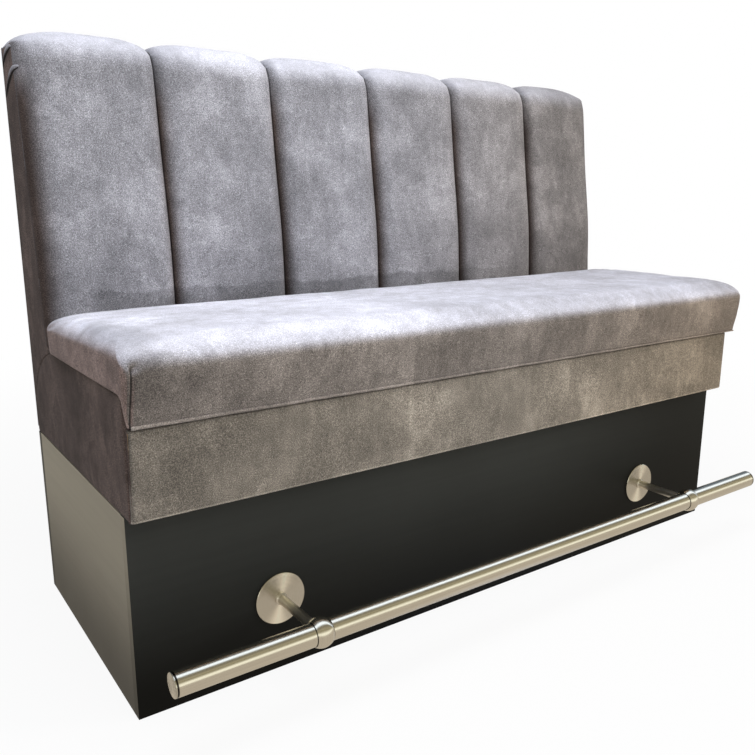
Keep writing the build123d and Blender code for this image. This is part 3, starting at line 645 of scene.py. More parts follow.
def swell(piece, hold, pressure, cap, steps=20):
    """Fills a closed piece with air as cloth, keeps its held points and caps its growth."""
    start = coordinates(piece.data)
    group = piece.vertex_groups.new(name="held")
    for index, weight in enumerate(hold):
        if weight > 0:
            group.add([index], float(weight), "REPLACE")
    cloth = piece.modifiers.new("air", "CLOTH")
    cloth.settings.use_pressure = True
    cloth.settings.uniform_pressure_force = pressure
    cloth.settings.effector_weights.gravity = 0.0
    cloth.settings.vertex_group_mass = "held"
    cloth.settings.quality = 6
    cloth.point_cache.frame_start, cloth.point_cache.frame_end = 1, steps
    scene = bpy.context.scene
    for step in range(1, steps + 1):
        scene.frame_set(step)
    seen = piece.evaluated_get(bpy.context.evaluated_depsgraph_get())
    moved = coordinates(seen.data) - start
    piece.modifiers.remove(cloth)
    piece.vertex_groups.remove(group)
    scene.frame_set(1)
    length = np.linalg.norm(moved, axis=1)
    limit = cap * np.tanh(length / cap) / np.maximum(length, 1e-9)
    move_points(piece.data, start + moved * limit[:, None])


def subdivide(piece):
    """One smooth subdivision, applied to the mesh."""
    piece.modifiers.new("finer", "SUBSURF").levels = 1
    seen = piece.evaluated_get(bpy.context.evaluated_depsgraph_get())
    finer = bpy.data.meshes.new_from_object(seen)
    finer.shade_smooth()
    piece.modifiers.clear()
    piece.data = finer


def along(line, share):
    """Points of a flat line at shares of its length."""
    line = np.array(line, float)
    run = np.concatenate([[0], np.cumsum(np.linalg.norm(np.diff(line, axis=0), axis=1))])
    return np.stack([np.interp(share * run[-1], run, line[:, k]) for k in range(2)], 1)


def patch(bottom, top, left, right, u, v):
    """Points inside four border lines; u runs along bottom and top, v along left and right."""
    low_row, high_row = along(bottom, u), along(top, u)
    first, last = along(left, v), along(right, v)
    uu, vv = u[None, :, None], v[:, None, None]
    corners = (1 - uu) * (1 - vv) * low_row[0] + uu * (1 - vv) * low_row[-1]
    corners = corners + (1 - uu) * vv * high_row[0] + uu * vv * high_row[-1]
    rows = (1 - vv) * low_row[None] + vv * high_row[None]
    return rows + (1 - uu) * first[:, None] + uu * last[:, None] - corners


def quad(corners, u, v):
    """Points inside four corners: the lower left and right, then the upper left and right."""
    a, b, c, d = corners
    return patch([a, b], [c, d], [a, c], [b, d], u, v)


def border_gaps(grid):
    """Distance of each grid point from the left, right, first and last border."""
    across = np.linalg.norm(np.diff(grid, axis=1), axis=2)
    upwards = np.linalg.norm(np.diff(grid, axis=0), axis=2)
    left = np.concatenate([np.zeros((len(grid), 1)), np.cumsum(across, 1)], 1)
    first = np.concatenate([np.zeros((1, grid.shape[1])), np.cumsum(upwards, 0)], 0)
    return left, left[:, -1:] - left, first, first[-1:] - first


def panel(grid, edges, thickness, place, relief):
    """A padded panel: a front grid with rounded borders, turned back at its rim."""
    height = np.full(grid.shape[:2], thickness)
    inside = np.ones_like(height)
    for gap, edge in zip(border_gaps(grid), edges):
        height -= bend_round(gap, edge, min(edge, thickness * 0.9))
        inside *= np.clip(gap / (edge * 1.6), 0, 1)
    height = np.maximum(height, thickness * 0.08) + relief * inside
    rows, columns = height.shape
    flat = grid.reshape(-1, 2)
    points = [place(a, b, h) for (a, b), h in zip(flat, height.ravel())]
    faces = grid_faces(rows, columns)
    rim = (
        list(range(columns))
        + [r * columns + columns - 1 for r in range(1, rows)]
        + [(rows - 1) * columns + c for c in range(columns - 2, -1, -1)]
        + [r * columns for r in range(rows - 2, 0, -1)]
    )
    start, count = len(points), len(rim)
    points += [place(*flat[i], 0.0) for i in rim]
    faces += [
        (rim[k], start + k, start + (k + 1) % count, rim[(k + 1) % count]) for k in range(count)
    ]
    faces.append(tuple(range(start, start + count)))
    return points, faces


def on_side(side, reach):
    """Places a panel's points on the bench's left or right side, padding outwards."""
    return lambda y, z, h: (side * (reach + h), y, z)


def on_wall(y, way):
    """Places a panel's points on an upright plane, padding to the front (-1) or rear (1)."""
    return lambda x, z, h: (x, y + way * h, z)


def strip(line, width, thickness, across):
    """A flat ribbon along a line of points; across gives its width direction."""
    line = [Vector(p) for p in line]
    widths = np.broadcast_to(width, len(line))
    points = []
    for i, p in enumerate(line):
        ahead = (line[min(i + 1, len(line) - 1)] - line[max(i - 1, 0)]).normalized()
        wide = Vector(across)
        wide = (wide - ahead * wide.dot(ahead)).normalized()
        out = ahead.cross(wide)
        for a, b in ((-1, -1), (-0.6, 1), (0.6, 1), (1, -1)):
            points.append(p + wide * (a * widths[i] / 2) + out * (b * thickness / 2))
    faces = grid_faces(len(line), 4, closed=True)
    faces += [(0, 1, 2, 3), tuple(len(points) - 4 + k for k in range(4))]
    return points, faces


# Sizes and colours that a user would change


def length_property(name, text, value):
    """A length in metres."""
    return bpy.props.FloatProperty(name=name, description=text, default=value, unit="LENGTH")


def colour_property(name, text, value):
    """A linear colour."""
    return bpy.props.FloatVectorProperty(
        name=name, description=text, default=value, size=3, subtype="COLOR", min=0, max=1
    )


class BenchFabric(bpy.types.PropertyGroup):
    """Velvet and padding"""

    channel_tone: colour_property("Channel tone", "Velvet of the back", (0.262, 0.260, 0.281))
    # The pad's and the front's tones are the channels' cloth made darker and browner: painted shade
    # and painted warm light.
    pad_tone: colour_property("Pad tone", "Velvet of the seat pad", (0.230, 0.202, 0.180))
    fascia_tone: colour_property("Front tone", "Velvet of the front panel", (0.224, 0.198, 0.165))
    # The sides' velvet, darkened as painted shade; it also paints the back's sideways faces, and,
    # made paler, the pad's.
    shaded_side_tone: colour_property("Side tone", "Velvet of the sides", (0.095, 0.070, 0.061))
    # Also painted as sheen on faces that look up.
    sheen_tone: colour_property("Sheen", "Colour of brushed pile", (0.72, 0.73, 0.83))
    sheen: bpy.props.FloatProperty(
        name="Sheen weight", description="Strength of the pile's sheen", default=0.10, min=0, max=1
    )
    nap_contrast: bpy.props.FloatProperty(
        name="Nap contrast", description="How far brushed patches differ", default=1.0, min=0, max=3
    )
    seam_depth: length_property("Seam depth", "Depth of the sewn grooves", 0.019)
    seam_width: length_property("Seam width", "Width over which a channel falls away", 0.046)
    channel_crown: length_property("Crown", "Extra fullness of each channel", 0.003)
    air: bpy.props.FloatProperty(
        name="Air", description="Pressure that fills the padding", default=4.0, min=0
    )


class BenchTrim(bpy.types.PropertyGroup):
    """Plinth, rail and boards"""

    laminate: colour_property("Laminate", "Front and rear of the plinth", (0.043, 0.045, 0.041))
    # Painted reflection: the dark laminate with the pale floor's reflection painted in, on the left
    # end and the front's left edge.
    laminate_side: colour_property("Left laminate", "Left end of the plinth", (0.305, 0.273, 0.208))
    steel: colour_property("Steel", "Foot rail", (0.70, 0.655, 0.58))
    steel_roughness: bpy.props.FloatProperty(
        name="Brushing", description="Roughness of the steel", default=0.21, min=0, max=1
    )


class BenchStage(bpy.types.PropertyGroup):
    """Light and camera"""

    key: bpy.props.FloatProperty(
        name="Key light", description="Power of the main lamp", default=270.0, unit="POWER"
    )
    top: bpy.props.FloatProperty(
        name="Top light", description="Power of the overhead lamp", default=62.0, unit="POWER"
    )
    lens: bpy.props.FloatProperty(
        name="Lens", description="Focal length", default=37.26, unit="CAMERA"
    )


# The back's channels


def channel_spine():
    """What the channels share: their line round the core, its outward ways, reach and turn."""
    foot = sheet_front(CHANNEL_FOOT)
    core = np.array([(foot, CHANNEL_FOOT), (sheet_front(RAIL_TOP), RAIL_TOP), (REAR, RAIL_TOP)])
    path = rounded_line(
        [
            (foot - 0.001, CHANNEL_FOOT, 0),
            (foot - CHANNEL_PADDING, CHANNEL_FOOT, 0.016),
            (sheet_front(BACK_TOP) - CHANNEL_PADDING, BACK_TOP, 0.074),
            (REAR, BACK_TOP, 0.028),
            (REAR, RAIL_TOP + 0.0005, 0),
        ],
        CHANNEL_RINGS,
    )
    inner = nearest_on(path, core)
    out = path - inner
    reach = np.linalg.norm(out, axis=1)
    out = out / np.maximum(reach, 1e-9)[:, None]
    height = path[:, 1]
    pressed = np.clip(1 - (height - 0.600) / 0.13, 0, 1) ** 2 * 0.005
    full = np.exp(-(((height - 0.755) / 0.10) ** 2)) * 0.004
    reach = reach + np.where(reach > 0.03, full - pressed, 0)
    rise = np.clip(np.arctan2(out[:, 1], -out[:, 0]) / (math.pi / 2), 0, 1)
    return inner, out, reach, rise * rise * (3 - 2 * rise)


def channel_mesh(left, right, ends, spine):
    """A closed padded channel: foot, raked front, roll over the top, and down the rear.

    ends says whether the left and the right side are an end of the back. Returns the points,
    the faces and each point's way outwards in y and z.
    """
    fabric = bpy.context.scene.bench_fabric
    span = right - left
    arc = 1 - np.cos(np.linspace(0, math.pi / 2, 11)[:-1])
    rings = []
    for inner, out, reach, turn in zip(*spine):
        seam = (fabric.seam_width * (1 + 0.45 * turn), fabric.seam_depth)
        end = (0.060 + 0.055 * turn, 0.0345 - 0.003 * turn)
        (wl, dl), (wr, dr) = (end if at_end else seam for at_end in ends)
        dl, dr = min(dl, reach * 0.97), min(dr, reach * 0.97)
        flat = np.linspace(wl, span - wr, 24)
        xs = np.concatenate([wl * arc, flat, (span - wr * arc)[::-1]])
        drop = bend_round(xs, wl, dl) + bend_round(span - xs, wr, dr)
        crown = fabric.channel_crown * min(1.0, reach / 0.03)
        bulge = crown * (1 - (2 * xs / span - 1) ** 2) - crown
        outer = inner + out * (reach - drop + bulge)[:, None]
        ring = [(left + x, y, z) for x, (y, z) in zip(xs, outer)]
        for x, start, shares in (
            (right, outer[-1], (0.3, 0.65, 1.0)), (left, outer[0], (1.0, 0.65, 0.3)),
        ):
            ring += [(x, *(start + (inner - start) * share)) for share in shares]
        rings.append(ring)
    columns = len(rings[0])
    faces = grid_faces(len(rings), columns, closed=True)
    return np.array(rings).reshape(-1, 3), faces, np.repeat(spine[1], columns, 0)


def channel_wear_and_shade(made, x, y, z):
    """Darker where the seat has pressed the pile; painted shade in the seams, to the right of each
    seam and on the end flanks; painted light that falls off to the right and a painted highlight
    along the top roll.
    """
    edge = made.noise(16.0, 3.0, 0.6, stretch=(1, 1, 0.3))
    height = z + (edge - 0.5) * 0.04
    pressed = (1.0 - height.between(0.633, 0.641)) * x.between(-0.68, -0.64)
    pressed = pressed * (0.30 - x.between(0.1, 0.6) * 0.27)
    # Painted highlight along the top roll.
    top = height.between(1.03, 1.11) * 0.05
    share = made.math("FRACT", (x + HALF) * (CHANNELS / (2 * HALF)))
    gap = 0.5 - abs(share - 0.5)
    inner = 1.0 - abs(x).between(HALF - 0.06, HALF - 0.05)
    # Painted shade: a dark line in each seam, and a darker band to the right of it.
    painted_seam_shade = (1.0 - gap.between(0.0, 0.012)) * inner * 0.45
    shaded = (1.0 - share.between(0.0, 0.11)) * inner * 0.42
    # Painted light that falls off towards the right.
    across = 1.06 + x.between(-0.55, -0.4) * 0.07 - x.between(-0.05, 0.15) * 0.08
    across = across - x.between(0.15, 0.45) * 0.16 - x.between(0.45, 0.62) * 0.23
    # Painted shade on the end flanks, less where the sides are gathered.
    flank_shade_depth = 0.35 - z.between(*GATHER) * 0.25
    painted_flank_shade = 1.0 - abs(x).between(HALF - 0.034, HALF - 0.004) * flank_shade_depth
    return (1.0 - pressed + top) * (1.0 - painted_seam_shade) * (1.0 - shaded) * across * painted_flank_shade


class BENCH_OT_channels(bpy.types.Operator):
    """Six padded channels of the back, with their seams"""

    bl_idname = "bench.channels"
    bl_label = "Back channels"

    def execute(self, context):
        fabric = context.scene.bench_fabric
        tone = rgba(fabric.channel_tone)
        # Painted shade where it looks sideways and a painted sheen on the top roll.
        finish = velvet(
            "velvet_back", tone, rgba(tone, 0.92), 0.42, rgba(fabric.shaded_side_tone), channel_wear_and_shade,
            rise=(0.1, 0.75),
        )
        pitch = 2 * HALF / CHANNELS
        spine = channel_spine()
        for index in range(CHANNELS):
            ends = index == 0, index == CHANNELS - 1
            left = -HALF + index * pitch + (0 if ends[0] else CHANNEL_GAP)
            right = -HALF + (index + 1) * pitch - (0 if ends[1] else CHANNEL_GAP)
            points, faces, ways = channel_mesh(left, right, ends, spine)
            push = waves(points, 9.0, index) * 0.0011 + waves(points, 21.0, index + 9) * 0.0006
            edge = np.minimum(points[:, 0] - left, right - points[:, 0])
            points[:, 1:] += ways * (push * np.clip(edge / 0.03, 0, 1))[:, None]
            number = index + 1
            padded_piece(
                f"channel_fabric_{number}", points, faces, finish,
                replaced=[f"back_channel_{number}"],
            )
        return {"FINISHED"}


# The sides and the front


def seam_line(count):
    """Points of the curved seam between the back's side and the seat box's side."""
    a, b, c = (np.array(p) for p in (SEAM_FRONT, SEAM_BEND, SEAM_REAR))
    t = np.linspace(0, 1, count)[:, None]
    control = 2 * b - (a + c) / 2
    return (1 - t) ** 2 * a + 2 * t * (1 - t) * control + t ** 2 * c


def gathered_pale(made, x, y, z):
    """Paler where the side is gathered at the top."""
    return 1.0 + z.between(*GATHER) * 1.1


def surface_tree(pieces):
    """The joined skin of several pieces, to lay other fabric on."""
    points, faces = [], []
    for piece in pieces:
        faces += [tuple(i + len(points) for i in face.vertices) for face in piece.data.polygons]
        points += [v.co.copy() for v in piece.data.vertices]
    return BVHTree.FromPolygons(points, faces)


def side_pleat(name, side, line, width, skin):
    """A gathered fold on the side of the back, with a strip of painted shadow under its free edge.
    """
    share = np.linspace(0, 1, 32)
    path = along(line, share)
    for _ in range(3):
        path[1:-1] = (path[:-2] + 2 * path[1:-1] + path[2:]) / 4
    ahead = np.gradient(path, axis=0)
    ahead /= np.linalg.norm(ahead, axis=1)[:, None]
    points = []
    for (y, z), (dy, dz), t in zip(path, ahead, share):
        full = max(math.sin(math.pi * min(1.0, 0.03 + t * 0.96)), 0.05) ** 0.55
        for across, height in PLEAT_SECTION:
            py, pz = y - dz * across * width * full, z + dy * across * width * full
            found = skin.ray_cast(Vector((side * 0.9, py, pz)), Vector((-side, 0, 0)))[0]
            base = found.x if found and abs(found.x) > HALF - 0.08 else side * (HALF - 0.004)
            points.append((base + side * height * full, py, pz))
    count = len(PLEAT_SECTION)
    faces = grid_faces(len(path), count, closed=True)
    faces += [tuple(range(count)), tuple(len(points) - count + k for k in range(count))]
    piece = new_piece(name, points, faces, bpy.data.materials["velvet_back"], "bench")
    piece.data.materials.append(bpy.data.materials["velvet_crease"])
    for face in piece.data.polygons:
        spot = min(v % count for v in face.vertices) if len(face.vertices) == 4 else 0
        # The rows under the free edge take the painted shadow.
        face.material_index = int(PLEAT_PAINTED_SHADOW[0] <= spot <= PLEAT_PAINTED_SHADOW[1])


def turned_in(name, across, along_edge, thickness, place, finish):
    """A thin band of fabric turned over an edge of the frame."""
    (a0, a1), (b0, b1) = across, along_edge
    grid = quad(
        [(a0, b0), (a1, b0), (a0, b1), (a1, b1)],
        edge_stops(1, 0.02, 0.02, 0.012 / (a1 - a0)), edge_stops(1, 0.02, 0.02, 0.012 / (b1 - b0)),
    )
    relief = ripples(grid, lambda a, b: (a, b, 0), (25.0, 11, thickness * 0.2))
    points, faces = panel(grid, (thickness,) * 4, thickness, place, relief)
    padded_piece(name, points, faces, finish)


def side_panels(name, cover, grid, edges, layer, finish):
    """One padded fabric on each side of the bench, mirrored; yields them as they are made."""
    for side, end in SIDES:
        relief = ripples(grid, lambda y, z, s=side: (s, y, z), layer)
        place = on_side(side, HALF - SIDE_FABRIC)
        points, faces = panel(grid, edges, SIDE_FABRIC, place, relief)
        piece = padded_piece(f"{name}_{end}", points, faces, finish, replaced=[f"{cover}_{end}"])
        yield side, end, piece


class BENCH_OT_back_sides(bpy.types.Operator):
    """Fabric on the two sides of the back, gathered at the top"""

    bl_idname = "bench.back_sides"
    bl_label = "Back sides"

    def execute(self, context):
        # The sides take a darker copy of the back's velvet: painted shade.
        tone = rgba(context.scene.bench_fabric.shaded_side_tone)
        finish = velvet(
            "velvet_sides", tone, rgba(tone, 0.88), wear_and_shade=gathered_pale, sheen=0.4, nap_share=1.25,
            painted_warm_light=False,
        )
        # Near-black cloth laid under each fold's free edge as a painted shadow.
        plain_finish("velvet_crease", (0.022, 0.017, 0.016), 0.95, scale=900.0)
        seam = seam_line(24)
        top = RAIL_TOP + TUCK
        corner, rear = (sheet_front(top) - TUCK, top), (REAR, top)
        front = [seam[0], (sheet_front(CHANNEL_FOOT) - TUCK, CHANNEL_FOOT), corner]
        grid = patch(
            seam, [corner, rear], front, [seam[-1], rear],
            edge_stops(1, 0.05, 0.03, 0.035), edge_stops(1, 0.012, 0.015, 0.011),
        )
        for side, end, piece in side_panels(
            "back_side_fabric", "back_side_cover", grid, (0.004, 0.004, 0.006, 0.004),
            (10.0, 4, 0.0008), finish,
        ):
            channel = bpy.data.objects[f"channel_fabric_{1 if side < 0 else CHANNELS}"]
            skin = surface_tree([piece, channel])
            for count, (line, width) in enumerate(SIDE_PLEATS, 1):
                side_pleat(f"side_pleat_{count}_{end}", side, line, width, skin)
        return {"FINISHED"}


class BENCH_OT_box_sides(bpy.types.Operator):
    """Fabric on the two sides of the seat box, up to the curved seam"""

    bl_idname = "bench.box_sides"
    bl_label = "Box sides"

    def execute(self, context):
        # The box's sides take the same darker velvet: painted shade.
        finish = bpy.data.materials["velvet_sides"]
        seam = list(seam_line(24))
        foot, rear_foot = (BOX_FRONT, PLINTH_TOP), (REAR, PLINTH_TOP)
        shoulder = (BOX_FRONT, BOX_TOP)
        grid = patch(
            [foot, rear_foot], [shoulder] + seam, [foot, shoulder], [rear_foot, seam[-1]],
            edge_stops(1, 0.012, 0.008, 0.012), edge_stops(1, 0.03, 0.03, 0.035),
        )
        for side, end, _ in side_panels(
            "box_side_fabric", "box_side_cover", grid, (0.006, 0.004, 0.005, 0.005),
            (8.0, 6, 0.0009), finish,
        ):
            inner, outer = side * (HALF - TURNED_WIDTH), side * HALF
            turned_in(
                f"box_top_turn_{end}", sorted((inner, outer + side * 0.0006)),
                (BOX_FRONT, SHEET_FOOT), 0.0014, lambda x, y, h: (x, y, BOX_TOP + h), finish,
            )
            turned_in(
                f"box_front_turn_{end}", sorted((inner, outer + side * 0.0007)),
                (PLINTH_TOP + 0.0005, BOX_TOP), 0.0011, on_wall(BOX_FRONT, -1), finish,
            )
        turned_in(
            "box_front_band", (-HALF - 0.0008, HALF + 0.0008),
            (high("fascia_cover", Z), BOX_TOP + 0.0012), 0.0011,
            on_wall(BOX_FRONT - 0.0001, -1), finish,
        )
        return {"FINISHED"}


def fascia_shade_and_edge(made, x, y, z):
    """Painted shade, darker towards both ends, and pale on the turned lower edge."""
    foot = low("fascia_cover", Z)
    bottom = 1.0 - z.between(foot + 0.0030, foot + 0.0055)
    # Painted shade towards both ends.
    painted_end_shade = 0.72 + x.between(-0.76, -0.54) * 0.40 + x.between(-0.5, 0.0) * 0.16
    return painted_end_shade - x.between(0.1, 0.55) * 0.28 + bottom * 0.9


class BENCH_OT_fascia(bpy.types.Operator):
    """Fabric-covered front panel with its turned lower edge"""

    bl_idname = "bench.fascia"
    bl_label = "Front panel"

    def execute(self, context):
        tone = rgba(context.scene.bench_fabric.fascia_tone)
        finish = velvet("velvet_front", tone, rgba(tone, 0.93), wear_and_shade=fascia_shade_and_edge, nap_share=1.05)
        box_low, box_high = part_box("fascia_cover")
        size = box_high - box_low
        corners = [
            (box_low.x + 0.002, box_low.z), (box_high.x + 0.0025, box_low.z),
            (box_low.x + 0.005, box_high.z), (box_high.x + 0.003, box_high.z),
        ]
        grid = quad(
            corners, edge_stops(size.x, 0.006, 0.006, 0.012) / size.x,
            edge_stops(size.z, 0.006, 0.006, 0.008) / size.z,
        )
        relief = ripples(grid, lambda x, z: (x, 0, z), (6.0, 8, 0.0012), (17.0, 3, 0.0005))
        edges = (0.006, 0.006, 0.005, 0.0035)
        points, faces = panel(grid, edges, size.y, on_wall(box_high.y, -1), relief)
        padded_piece("front_panel_fabric", points, faces, finish, replaced=["fascia_cover"])
        board_low, board_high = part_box("fascia_board")
        # The panel's turned ends take the darker sides' velvet: painted shade at its ends.
        for side, end in SIDES:
            turned_in(
                f"front_panel_turn_{end}", (board_low.y - 0.0016, board_high.y),
                (box_low.z + 0.0012, box_high.z - 0.0012), 0.0016,
                on_side(side, board_high.x), bpy.data.materials["velvet_sides"],
            )
        return {"FINISHED"}


# The seat pad


class PadShape:
    """The seat pad's outline and edges; every ring of points follows the same columns."""

    corner_steps, long_steps, short_steps = 9, 150, 38
    nose, side, back = 0.040, 0.024, 0.022
    corner, corner_growth = 0.012, 0.026
    rear_left, rear_right, rear_wall = 0.062, 0.046, 0.024
    lip_back = -0.3040
    low_row, high_row = PAD_BOTTOM - 0.001, PAD_BOTTOM - 0.025

    def __init__(self):
        quarter = np.linspace(0, 1, self.corner_steps + 1)
        ahead, short = np.linspace(0, 1, self.long_steps + 1), np.linspace(0, 1, self.short_steps)
        runs = (
            ("front_left", quarter[::-1]), ("front", ahead[1:-1]), ("front_right", quarter),
            ("lip_right", (0.5, 1.0)), ("right", short[:-1]), ("rear_right", quarter),
            ("rear", 1 - ahead[1:-1]), ("rear_left", quarter[::-1]), ("left", 1 - short[1:]),
            ("lip_left", (1.0, 0.5)),
        )
        self.columns = [(kind, t) for kind, stops in runs for t in stops]

    def blend(self, kind, t, front, side, rear):
        """A value that turns from the front's to the side's to the rear's round the corners."""
        if kind in ("front", "rear"):
            return front if kind == "front" else rear
        if kind.startswith("front_"):
            return front + (side - front) * t
        return side + (rear - side) * t if kind.startswith("rear_") else side

    def spot(self, kind, t, bounds, front, rear_left, rear_right):
        """Plan position of a column for the bounds and corner radii of its ring."""
        x0, x1, y0, y1 = bounds
        half = max((y1 - y0) / 2, 0)
        front, rear_left, rear_right = (min(r, half) for r in (front, rear_left, rear_right))
        if kind == "front":
            return x0 + front + (x1 - x0 - 2 * front) * t, y0
        if kind == "rear":
            return x0 + rear_left + (x1 - x0 - rear_left - rear_right) * t, y1
        at_left = kind.endswith("left")
        rear = rear_left if at_left else rear_right
        sine, cosine = math.sin(t * math.pi / 2), math.cos(t * math.pi / 2)
        inset = 0.0
        start = max(y0 + front + min(0.0006, half - front), self.lip_back)
        if kind.startswith("front_"):
            inset, y = front * (1 - sine), y0 + front * (1 - cosine)
        elif kind.startswith("rear_"):
            inset, y = rear * (1 - cosine), y1 - rear * (1 - sine)
        elif kind.startswith("lip_"):
            y = y0 + front + (start - y0 - front) * t
        else:
            y = start + (y1 - rear - start) * t
        return (x0 + inset if at_left else x1 - inset), y

    def wall(self, kind, t, share):
        """Point of a column on the upright part, share 0 at its lower edge."""
        foot = LIP_BOTTOM + 0.003 if kind.startswith(("front", "lip")) else PAD_BOTTOM + 0.001
        edge = PAD_TOP - self.blend(kind, t, self.nose, self.side, self.back)
        z = foot + (edge - foot) * share
        below = max(0.0, PAD_BOTTOM - z) / (PAD_BOTTOM - LIP_BOTTOM)
        bulge = max(0.0, 1 - (z - PAD_BOTTOM) / 0.028) ** 2 if z > PAD_BOTTOM else 1.0
        right_end = 1.0 if kind in ("front_right", "lip_right") else 0.0
        if kind == "front":
            right_end = max(0.0, (t - 0.85) / 0.15)
        drop = np.clip((edge - z) / (edge - LIP_BOTTOM), 0, 1) ** (1.0 + right_end)
        bounds = (
            PAD_LEFT + 0.0005 * bulge + 0.0065 * below,
            PAD_RIGHT - (0.003 * bulge + 0.0015 * below),
            PAD_NOSE + 0.0112 * (1 - math.cos(drop * math.pi)) / 2,
            sheet_front(z) - CHANNEL_PADDING - 0.0006 * bulge,
        )
        corner = self.corner - 0.008 * below
        return *self.spot(kind, t, bounds, corner, self.rear_wall, self.rear_wall), z

    def over(self, kind, t, angle):
        """Point of a column on the rounded upper edge."""
        turn, rise = 1 - math.cos(angle), math.sin(angle)
        radius = self.blend(kind, t, self.nose, self.side, self.back)
        z = PAD_TOP - radius + radius * rise
        bounds = (
            PAD_LEFT + self.side * turn, PAD_RIGHT - self.side * turn,
            PAD_NOSE + self.nose * turn, sheet_front(z) - CHANNEL_PADDING - self.back * turn,
        )
        rear = [
            self.rear_wall + (r - self.rear_wall) * turn for r in (self.rear_left, self.rear_right)
        ]
        return *self.spot(kind, t, bounds, self.corner + self.corner_growth * rise, *rear), z

    def flat(self, kind, t, share):
        """Point of a column on the top, share 1 at the middle line."""
        y0, y1 = PAD_NOSE + self.nose, sheet_front(PAD_TOP) - CHANNEL_PADDING - self.back
        inset = (y1 - y0) / 2 * share
        bounds = (
            PAD_LEFT + self.side + inset, PAD_RIGHT - self.side - inset, y0 + inset, y1 - inset
        )
        rear = [max(r - inset, 0.02) for r in (self.rear_left, self.rear_right)]
        return *self.spot(kind, t, bounds, self.corner + self.corner_growth, *rear), PAD_TOP

    def under(self, kind, t, row):
        """Point of a column on the turned lower edge; row counts inwards."""
        if kind.startswith(("front", "lip")):
            x, y, _ = self.wall(kind, t, 0.0)
            y, z = (
                (y + 0.0022, LIP_BOTTOM), (self.lip_back + 0.0002, LIP_BOTTOM),
                (self.lip_back + 0.0002, self.high_row), (self.lip_back + 0.0002, self.low_row),
                (self.lip_back + 0.03, self.low_row),
            )[row]
            left, right = (0.045, 0.04) if row == 4 else (0.0085, 0.0065)
            return min(max(x, PAD_LEFT + left), PAD_RIGHT - right), y, z
        inset = (0.001, 0.003, 0.013, 0.023, 0.033)[row]
        bounds = (
            PAD_LEFT + 0.0005 + inset, PAD_RIGHT - 0.003 - inset, self.lip_back - 0.01 + inset,
            sheet_front(PAD_BOTTOM) - CHANNEL_PADDING - 0.0006 - inset,
        )
        rear = max(self.rear_wall - inset, 0.002)
        x, y = self.spot(kind, t, bounds, self.corner, rear, rear)
        return x, max(y, self.lip_back + (0.03 if row == 4 else 0.0)), self.low_row

    def rings(self):
        """All rings from the inner lower edge to the middle of the top."""
        stages = (
            (self.under, (4, 3, 2, 1, 0)),
            (self.wall, np.linspace(0, 1, 11)),
            (self.over, np.linspace(0, math.pi / 2, 12)[1:]),
            (self.flat, np.linspace(0, 1, 21)[1:]),
        )
        points = np.array(
            [
                [spot(*column, stop) for column in self.columns]
                for spot, stops in stages
                for stop in stops
            ]
        )
        taper = np.clip((0.08 - points[..., 1]) / 0.40, 0, 1) ** 1.5 * 0.0065
        points[..., 0] += taper * np.clip((-0.5 - points[..., 0]) / 0.25, 0, 1)
        return points


def pad_seam_shade(x, y, z):
    """Painted shade along the sewn seam up the lip's left corner."""
    front = 1.0 - y.between(PAD_NOSE + 0.020, PAD_NOSE + 0.024)
    lower = 1.0 - z.between(0.577, 0.583)
    gap = abs(x + (PAD_SEAM_TOP - z) * PAD_SEAM_LEAN - PAD_SEAM)
    return front * lower * (1.0 - gap.between(0.0006, 0.0022))


def pad_shade_and_patch(made, x, y, z):
    """Painted shade: on the top darker to the right and towards the rear, and the front face darker
    than the top, most at its left end; also one darker patch near the front-left corner.
    """
    place = made.vector("MULTIPLY", made.vector("SUBTRACT", made.place, PAD_PATCH), (1, 0.45, 0.4))
    ragged = made.vector("LENGTH", place, out="Value") + (made.noise(14.0, 4.0, 0.65) - 0.5) * 0.09
    # One darker patch near the front-left corner, with a ragged edge.
    brushed = 1.0 - (1.0 - ragged.between(0.02, 0.075)) * 0.36
    top = z.between(0.588, 0.606)
    # Painted light on the top that falls off to the right, and a painted shadow towards the rear.
    painted_top_light = 1.01 - x.between(-0.45, 0.0) * 0.13 - x.between(0.3, 0.6) * 0.12
    painted_top_light = painted_top_light - y.between(0.035, 0.08) * 0.3
    # Painted shade on the front face, darkest at its left end.
    front = 0.72 + x.between(-0.76, -0.58) * 0.28
    return (painted_top_light * top + front * (1.0 - top)) * brushed


def pad_hold(points):
    """How firmly each point of the pad is held while it fills: the top and its edges give."""
    hold = 1.0 - 0.9 * np.clip((points[:, 2] - 0.565) / 0.03, 0, 1)
    hold[points[:, 2] < 0.560] = 1.0
    corner_gap = np.hypot(points[:, 0] - PAD_LEFT, points[:, 1] - PAD_NOSE)
    return np.maximum(hold, np.clip(1.6 - corner_gap / 0.07, 0, 1))


def open_underside(mesh):
    """Takes away the flat face that closed the pad while it was filled."""
    work = bmesh.new()
    work.from_mesh(mesh)
    widest = max(work.faces, key=lambda face: len(face.verts))
    bmesh.ops.delete(work, geom=[widest], context="FACES_ONLY")
    work.to_mesh(mesh)
    work.free()


